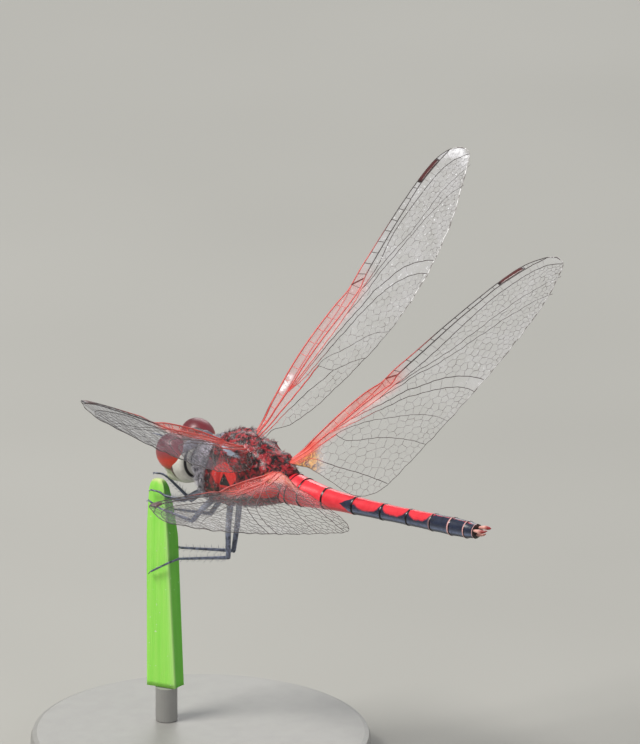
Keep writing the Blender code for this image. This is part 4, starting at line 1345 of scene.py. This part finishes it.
# %% Face
def face():
    """Brow, its shield, the two lips and the side jaws, each a closed lump that sits in its neighbour."""
    def brow_form(u):
        return 1 - 0.07 * bell(u[:, 0], 0.16) * (u[:, 2] > -0.2) + 0.05 * bell(u[:, 2] + 0.2, 0.15)

    shapes = [lump((0, -8.5, 1.75), (1.0, 0.95, 1.0), 40, 56, brow_form),
              lump((0, -8.72, 0.78), (1.16, 0.98, 0.42), 32, 56, lambda u: 1 + 0.04 * np.cos(4 * u[:, 0])),
              lump((0, -8.82, 0.15), (1.12, 1.00, 0.48), 32, 56, lambda u: 1 - 0.06 * bell(u[:, 0], 0.12)),
              lump((0, -8.74, -0.45), (1.02, 1.00, 0.62), 32, 56, lambda u: 1 - 0.06 * bell(u[:, 0], 0.07))]
    for side in (1, -1):
        shapes += [lump((side * 0.92, -8.45, 0.25), (0.62, 0.98, 0.80), 28, 40),
                   lump((side * 0.66, -8.35, -0.55), (0.80, 1.18, 0.60), 28, 40,
                        lambda u: 1 - 0.05 * bell(u[:, 1] + 0.2, 0.08))]
    shapes.append(lump((0, -8.55, 2.72), (0.40, 0.36, 0.34), 28, 40,
                       lambda u: 1 + 0.10 * bell(np.abs(u[:, 0]) - 0.6, 0.25)))
    for small_eye in ((0, -8.88, 2.76), (0.34, -8.60, 2.80), (-0.34, -8.60, 2.80)):
        shapes.append(lump(small_eye, (0.11, 0.11, 0.11), 12, 16))
    points, faces = joined(shapes)
    x, y, z = points.T
    marks = {"seam": sum(bell(z - seam, 0.05) for seam in (0.47, -0.15, -0.62)) * fade(-8.3, -8.8, y),
             "brown": bell(z - 0.42, 0.30) * fade(0.7, 1.0, np.abs(x)),
             "high": fade(0.6, 1.3, z), "crown": fade(2.3, 2.6, z)}
    return body_piece("face_plates", (points, faces), "face_shield", marks)


shield = Look("face_shield", Roughness=0.35, Specular_IOR_Level=0.5, Coat_Weight=0.2)
ragged = shield.swing(shield.noise(0.5, 3), 0.4)
tone = shield.cloudy(0.35, 3, "A9AE8E", "DDE0CC")
tone = shield.painted(tone, shield.cloudy(0.5, 2, "8A1C22", "C23A34"), "high", 0.35, 0.7, ragged)
tone = shield.mix(shield.times(shield.mark("seam"), 0.7), tone, "5C4A34")
blots = shield.steps(shield.noise(0.3, 3), (0.35, 0.2), (0.6, 1.0))
tone = shield.mix(shield.times(shield.mark("brown"), blots), tone, "8A6E4A")
shield.link(shield.painted(tone, shield.cloudy(0.3, 2, "2A0E2E", "6A2430"), "crown", 0.3, 0.7))
shield.bump(shield.noise(0.14, 3), 0.02, 0.5)
settle(face(), "face_skin", "frons", "mouthparts")

# %% [markdown]
# The feelers are mere bristles: two thick joints and a hair that thins to nothing.

# %% Feelers
FEELER_PATH = np.array([(0.42, -9.15, 2.35), (0.47, -9.38, 2.52), (0.60, -9.62, 2.70), (0.78, -9.95, 2.86),
                        (0.95, -10.25, 2.95)])
FEELER_RADII = (0.13, 0.11, 0.07, 0.045, 0.015)

chitin = Look("leg_chitin", Roughness=0.34, Specular_IOR_Level=0.5, Coat_Weight=0.2, Coat_Roughness=0.25)
tone = chitin.mix(chitin.rise(chitin.noise(0.3, 4), 0.35, 0.7), "2C303E", "7C849C")
chitin.link(chitin.mix(chitin.times(chitin.mark("pale"), chitin.noise(0.5, 3)), tone, "A4A8B4"))
chitin.bump(chitin.noise(0.08, 3), 0.012, 0.5)
for name, side in (("antenna_left", 1), ("antenna_right", -1)):
    shape = tube(FEELER_PATH * (side, 1, 1), FEELER_RADII, 16)
    settle(body_piece(name + "_bristle", shape, "leg_chitin"), "leg_black", name)

# %% [markdown]
# ## The legs
# A dragonfly's legs form a basket for catching prey: each has a strong thigh, a slim shin with long
# spines and a thin foot that ends in two claws. The joints' places come from the solids' design.

# %% Leg measures and spines
LEG_JOINTS = {  # knee, ankle and toe, along the world's axes from the body's place
    "fore_leg_left": ((1.1, -7.2, -3.3), (1.6, -8.75, -3.2), (1.95, -9.9, -2.9)),
    "fore_leg_right": ((-0.55, -7.9, -3.9), (0.6, -9.45, -2.0), (1.3, -10.1, -1.62)),
    "mid_leg_left": ((2.0, -5.3, -4.4), (1.72, -8.7, -4.4), (2.05, -10.1, -3.9)),
    "mid_leg_right": ((-1.5, -6.6, -5.0), (-0.15, -8.95, -4.9), (-0.1, -10.3, -5.5)),
    "hind_leg_left": ((0.3, -2.8, -7.4), (0.35, -8.45, -8.95), (1.97, -10.0, -10.0)),
    "hind_leg_right": ((-1.0, -3.46, -7.3), (-0.05, -8.5, -8.1), (-0.62, -9.7, -8.7))}
FOOT_BENDS = {"hind_leg_left": (1.62, -8.45, -9.0), "mid_leg_left": (1.85, -9.2, -4.3)}
HAIR_RINGS = ((0.0, 1.0), (0.38, 0.8), (0.74, 0.5), (1.0, 0.06))


def spine_shape(name, hairs, thick, look, seed):
    """A helper object one unit tall: one straight spine, or a tuft of thin curved hairs."""
    rng = np.random.default_rng(seed)
    shapes, patch = [], []
    for number in range(hairs):
        lean, foot, tall = np.zeros(2), np.zeros(2), 1.0
        if hairs > 1:
            lean, foot = rng.uniform(-0.45, 0.45, 2), rng.uniform(-0.14, 0.14, 2)
            tall = rng.uniform(0.65, 1.0)
        turn = round_angles(3) + number
        across = np.column_stack([np.cos(turn), np.sin(turn), np.zeros(3)])
        rings = []
        for share, wide in HAIR_RINGS:
            height = tall * (share - 0.25 * share * share * np.linalg.norm(lean))
            middle = np.r_[foot + lean * share * share, height]
            rings.append(middle + thick * wide * across)
            patch += [(number / hairs, share, 0)] * 3
        sides = [(r + c, r + (c + 1) % 3, r + 3 + (c + 1) % 3, r + 3 + c)
                 for r in (0, 3, 6) for c in range(3)]
        shapes.append((np.vstack(rings), [(0, 2, 1), *sides, (9, 10, 11)]))
    helper = add_piece(name, *joined(shapes), look)
    set_mark(helper.data, "patch", patch, "FLOAT_VECTOR")
    return helper


print("leg joints for", ", ".join(LEG_JOINTS))

# %% [markdown]
# A limb is a ball at the hip and three tapered tubes, each from joint to joint, with two hooked
# claws at the toe. The spines stand in four rows along it. Only their roots and directions are
# worked out here, because the tree for spines sets the same small shape on every one of them.

# %% One leg
HIP_BALL = 0.42
THIGH, SHIN = (0.20, 0.26, 0.24, 0.20, 0.17), (0.15, 0.15, 0.12, 0.10, 0.11)
FOOT, CLAW = (0.10, 0.085, 0.09, 0.075, 0.08), (0.05, 0.04, 0.028, 0.008)
CLAW_STEPS = ((0, 0, 0), (0.14, 0.08, 0), (0.26, 0.13, 0.05), (0.30, 0.12, 0.15))
SPINE_RUNS = ((0.22, 16, 0.24), (0.11, 22, 0.42), (0.08, 8, 0.18))  # limb's radius, number, height
SPINE_ROWS = (-0.7, 0.5, 2.6, 3.8)
UP = np.array((0, 0, 1.0))


def leg(name):
    """The limb as a piece, and the spines' roots, directions and lengths."""
    side = 1 if name.endswith("left") else -1
    hip = np.array(HIPS[name.split("_")[0]]) * (side, 1, 1)
    knee, ankle, toe = (near_body(p) for p in LEG_JOINTS[name])
    bend = near_body(FOOT_BENDS[name]) if name in FOOT_BENDS else (ankle + toe) / 2 + near_body((0, 0, 0.12))
    down, along, onward = unit(knee - hip), ankle - knee, unit(toe - bend)
    middle, out = (hip + knee) / 2, np.array((side * 0.10, 0, 0.06))
    shapes = [lump(hip + down * 0.1, (HIP_BALL,) * 3, 20, 28),
              tube([hip, hip + down * 0.5, middle + out, knee - down * 0.25, knee], THIGH, 22),
              tube([knee, knee + along * 0.06, knee + along * 0.5, knee + along * 0.94, ankle], SHIN, 18),
              tube([ankle, ankle + (bend - ankle) * 0.5, bend, bend + (toe - bend) * 0.55, toe], FOOT, 14)]
    for turn in (1, -1):
        over = np.cross(onward, UP) * turn
        path = [toe + onward * far + over * wide - UP * low for far, wide, low in CLAW_STEPS]
        shapes.append(tube(path, CLAW, 10))
    points, faces = joined(shapes)
    pale = bell(nearest(np.array([hip, middle])[:, 1:], points[:, 1:])[1], 0.25)
    piece = body_piece(name + "_limb", (points, faces), "leg_chitin", {"pale": pale})
    roots, leans, reach = [], [], []
    spans = ((hip, knee, out), (knee, ankle, 0 * out), (ankle, toe, 0 * out))
    for (start, end, bow), (radius, count, tall) in zip(spans, SPINE_RUNS):
        axis = unit(end - start)
        first = unit(np.cross(axis, UP))
        second = np.cross(axis, first)
        for row in SPINE_ROWS:
            ray = math.cos(row) * first - math.sin(row) * second * (1 if second[2] > 0 else -1)
            for number in range(count):
                share = (number + 0.6 + 0.25 * math.cos(3 * row)) / (count + 0.4)
                centre = start + (end - start) * share + bow * 4 * share * (1 - share)
                roots.append(centre + ray * radius * 0.8)
                leans.append((ray + axis * 0.55) @ BODY_TURN.T)
                reach.append(tall * (0.8 + 0.4 * math.sin(2.3 * number)) * (1 - 0.3 * share))
    return piece, roots, leans, reach


print("spines on each leg:", len(SPINE_ROWS) * sum(count for _, count, _ in SPINE_RUNS))

# %% [markdown]
# The six legs differ only in their joints, so one loop makes them all: first the limb, then its
# spines, which are plain meshes once the tree has run. The single spine that served as the pattern
# is removed at the end.

# %% All six legs
one_spine = spine_shape("one_spine", 1, 0.062, "leg_chitin", 1)
for name in LEG_JOINTS:
    limb, roots, leans, reach = leg(name)
    settle(limb, "leg_black", name + "_femur", name + "_tibia", name + "_tarsus")
    mesh = new_mesh("roots", to_world(roots))
    set_mark(mesh, "lean", leans, "FLOAT_VECTOR")
    set_mark(mesh, "reach", np.array(reach, np.float32) * MM)
    spines = run_tree(name + "_spines", new_object("roots", mesh), spine_tree, "leg_chitin", Shape=one_spine)
    settle(spines, "leg_black")
bpy.data.objects.remove(one_spine)

# %% [markdown]
# ## The perch
# The insect grips the cut tip of a green leaf stem with a keel along it. Its section is a kite of
# four faces that widens downwards. The fine ribs of the leaf run along it as bump.

# %% Perch stem
PERCH_PLACE, PERCH_TURN = np.array((0.2, -4.25)), math.radians(134.5)
PERCH_BOTTOM, PERCH_TOP = 6.0, 24.1
FACE_POINTS = 14
FACE_SHARES = np.linspace(0.03, 0.97, FACE_POINTS)
TIP_ROWS = [(0.0, 0.46), (0.03, 0.56), (0.08, 0.66), (0.16, 0.76), (0.30, 0.86), (0.50, 0.94), (0.8, 1.0)]


def perch_ring(depth, swell):
    """One section, this deep below the tip and swollen to this share of its full width."""
    near, slow = min(1.0, depth / 5.0) ** 0.6, depth / 18.0
    left, right = -(0.95 + 0.36 * near), 0.30 + 0.88 * near + 0.62 * slow
    keel = 0.10 + 0.10 * near + 0.85 * slow
    front, back = 0.55 + 0.30 * near + 0.12 * slow, -(0.50 + 0.25 * near + 0.25 * slow)
    middle = (left + right) / 2
    corners = np.array([(left, -0.1), (keel, front), (right, -0.1), (middle, back)])
    ring = np.vstack([a + (b - a) * FACE_SHARES[:, None]
                      for a, b in zip(corners, np.roll(corners, -1, axis=0))])
    sag = -0.05 * np.sin(np.pi * np.tile(FACE_SHARES, 4)) * np.repeat([1, 1, 0, 0], FACE_POINTS)
    ring = (middle, 0.0) + (ring - (middle, 0.0)) * (1 + sag)[:, None] * swell
    c, s = math.cos(PERCH_TURN), math.sin(PERCH_TURN)
    flat = PERCH_PLACE + ring[:, :1] * (c, s) + ring[:, 1:] * (s, -c)
    return np.column_stack([flat, np.full(len(flat), PERCH_TOP - depth)])


def perch():
    full, around = PERCH_TOP - PERCH_BOTTOM, 4 * FACE_POINTS
    rows = TIP_ROWS + [(full * s, 1.0) for s in np.linspace(0.07, 1.0, 40)]
    points, faces = loft([perch_ring(*row) for row in rows])
    points *= MM

    def every_ring(values):
        return np.tile(values, len(rows))

    # side is 0 on the two faces painted as lit and 1 on the two painted in shade
    marks = {"side": np.r_[every_ring(np.repeat([0.0, 1.0, 1.0, 0.0], FACE_POINTS)), 0, 0],
             "depth": np.r_[np.repeat([depth / full for depth, _ in rows], around), 0, 1],
             "round": np.r_[every_ring(np.arange(around) / around), 0.5, 0.5],
             "keel": np.r_[every_ring(bell((np.arange(around) - FACE_POINTS + 0.5) / around, 0.03)), 0, 0]}
    return add_piece("perch_leaf", points, outward(points, faces), "leaf_green", marks)


leaf = Look("leaf_green", Roughness=0.42, Specular_IOR_Level=0.4, Subsurface_Weight=0.15,
            Subsurface_Radius=(0.0004, 0.0008, 0.0002))
drawn_out = leaf.add("ShaderNodeMapping", {"Vector": leaf.place(), "Scale": (3000, 3000, 120)}).outputs[0]
streak = leaf.add("ShaderNodeTexNoise", {"Vector": drawn_out, "Scale": 1.0, "Detail": 3.0}).outputs["Fac"]
# the two left faces are bright lime and the two right faces darker green: painted light and shade
tone = leaf.mix(leaf.mark("side"), leaf.mix(streak, "8CEE4C", "BAFC76"),
                leaf.mix(streak, "5AB832", "7CD446"))
tone = leaf.mix(leaf.times(leaf.mark("keel"), 0.7), tone, "C8F49A")
depth = leaf.plus(leaf.mark("depth"), leaf.swing(leaf.noise(0.5, 2), 0.04))
tone = leaf.mix(leaf.steps(depth, (0.0, 1.0), (0.022, 0.0)), tone, "DCEEA0")
# painted highlights: small pale glints scattered over the stem
leaf.link(leaf.mix(leaf.times(leaf.rise(leaf.noise(0.28, 2), 0.70, 0.74), 0.8), tone, "E6F8D8"))
grooves = leaf.bump(leaf.maths("SINE", leaf.times(leaf.mark("round"), 330.0)), 0.02, 0.5)
leaf.bump(leaf.noise(0.2, 3), 0.02, 0.4, grooves)
settle(perch(), "stem_green", "perch_stem")

# %% [markdown]
# The display stand stays as it was made, a turned disc and a short pin: a museum stand is plain,
# and its solids already have the right shape. It only gets a fine satin lacquer.

# %% Stand finish
lacquer = Look("stand_lacquer", Roughness=0.5, Specular_IOR_Level=0.4)
lacquer.link(lacquer.cloudy(1.5, 4, "8E8D8A", "9C9B97"))
lacquer.bump(lacquer.noise(0.15, 3), 0.01, 0.4)
for node in ("stand_base", "stand_rod"):
    for holder in frame["nodes"][node].material_slots:
        holder.material = LOOKS["stand_lacquer"]
    print(node, "lacquered")

# %% [markdown]
# ## The down
# Fine hairs cover the front of the thorax and thin out over its back. Tufts of five curved hairs are
# scattered over the skin by Geometry Nodes, denser and longer where the skin's own marks say so, and
# lie back along it. Each tuft keeps the place of its root on the skin's unwrap, so that a bake of
# the coat gives it that spot's colours.

# %% Down on the thorax
coat_tree, given = new_tree("down_on_skin", Shape="Object", Most="Float", Seed="Int")
most = add_node(coat_tree, "ShaderNodeMath", {0: given["Most"], 1: read_mark(coat_tree, "thick_down")},
                operation="MULTIPLY")
inputs = {"Mesh": given["Geometry"], "Seed": given["Seed"]}
spread = add_node(coat_tree, "GeometryNodeDistributePointsOnFaces", inputs)
coat_tree.links.new(most.outputs[0], next(s for s in spread.inputs if s.name == "Density" and s.enabled))
vary = add_node(coat_tree, "FunctionNodeRandomValue", {2: 0.65, 3: 1.15, "Seed": given["Seed"]},
                data_type="FLOAT")
height = add_node(coat_tree, "ShaderNodeMath", {0: read_mark(coat_tree, "tall_down"), 1: vary.outputs[1]},
                  operation="MULTIPLY")
stand_on(coat_tree, given, spread.outputs["Points"], "lie", height.outputs[0])

down = Look("thorax_down", Roughness=0.55, Specular_IOR_Level=0.4, Sheen_Weight=0.3)
down.link(body_colours(down, True))
DOWN_SEED, TUFTS_PER_SQUARE_METRE, HAIR_THICKNESS = 5, 2.4e7, 0.030


def vectors_of(mesh, mark):
    found = np.zeros(3 * len(mesh.vertices), np.float32)
    mesh.attributes[mark].data.foreach_get("vector", found)
    return found.reshape(-1, 3)


def grow_down(name, skin_piece, thick, tall):
    """Tufts over a copy of the skin: thick and tall are numbers for each of its points."""
    mesh = skin_piece.data.copy()
    normals = np.zeros(len(mesh.vertices) * 3, np.float32)
    mesh.vertices.foreach_get("normal", normals)
    back = np.array((0, 1.0, -0.25)) @ BODY_TURN.T
    set_mark(mesh, "thick_down", thick)
    set_mark(mesh, "tall_down", np.asarray(tall, np.float32) * MM)
    set_mark(mesh, "lie", normals.reshape(-1, 3) * 0.9 + back * 0.75, "FLOAT_VECTOR")
    tuft = spine_shape("tuft", 5, HAIR_THICKNESS, "thorax_down", DOWN_SEED)
    piece = run_tree(name, new_object("down_ground", mesh), coat_tree, "thorax_down", Shape=tuft,
                     Most=TUFTS_PER_SQUARE_METRE, Seed=DOWN_SEED)
    bpy.data.objects.remove(tuft)
    place = vectors_of(piece.data, "unwrap")[:, :2] * 0.99 + vectors_of(piece.data, "patch")[:, :2] * 0.003
    corner = np.array([loop.vertex_index for loop in piece.data.loops])
    layer = piece.data.uv_layers.new(name="OFBake")
    layer.data.foreach_set("uv", place[corner].astype(np.float32).ravel())
    return piece


seat = (np.array([v.co for v in thorax.data.vertices]) / MM - BODY_PLACE) @ BODY_TURN
y, z = seat[:, 1], seat[:, 2]
level = y - THORAX_SLOPE * (z - THORAX_MIDDLE)
front, dorsal, crest = 1 - fade(-3.9, -2.9, level), fade(2.4, 3.2, z), fade(2.2, 3.0, z)
belly, collar = 1 - fade(-1.6, -0.8, z), bell(level + 3.4, 0.9) * fade(2.6, 3.4, z)
thick = 0.95 * front * (1 - 0.8 * crest) + 0.05 * dorsal + 0.30 * belly + 0.10 * collar + 0.06
thick = np.clip(thick, 0, 1) * fade(-5.6, -5.2, y)
tall = 0.30 + 0.22 * front * (1 - crest) + 0.22 * collar * fade(-2.9, -2.3, y)
settle(grow_down("thorax_down", thorax, thick, tall), "thorax_skin")

# %% [markdown]
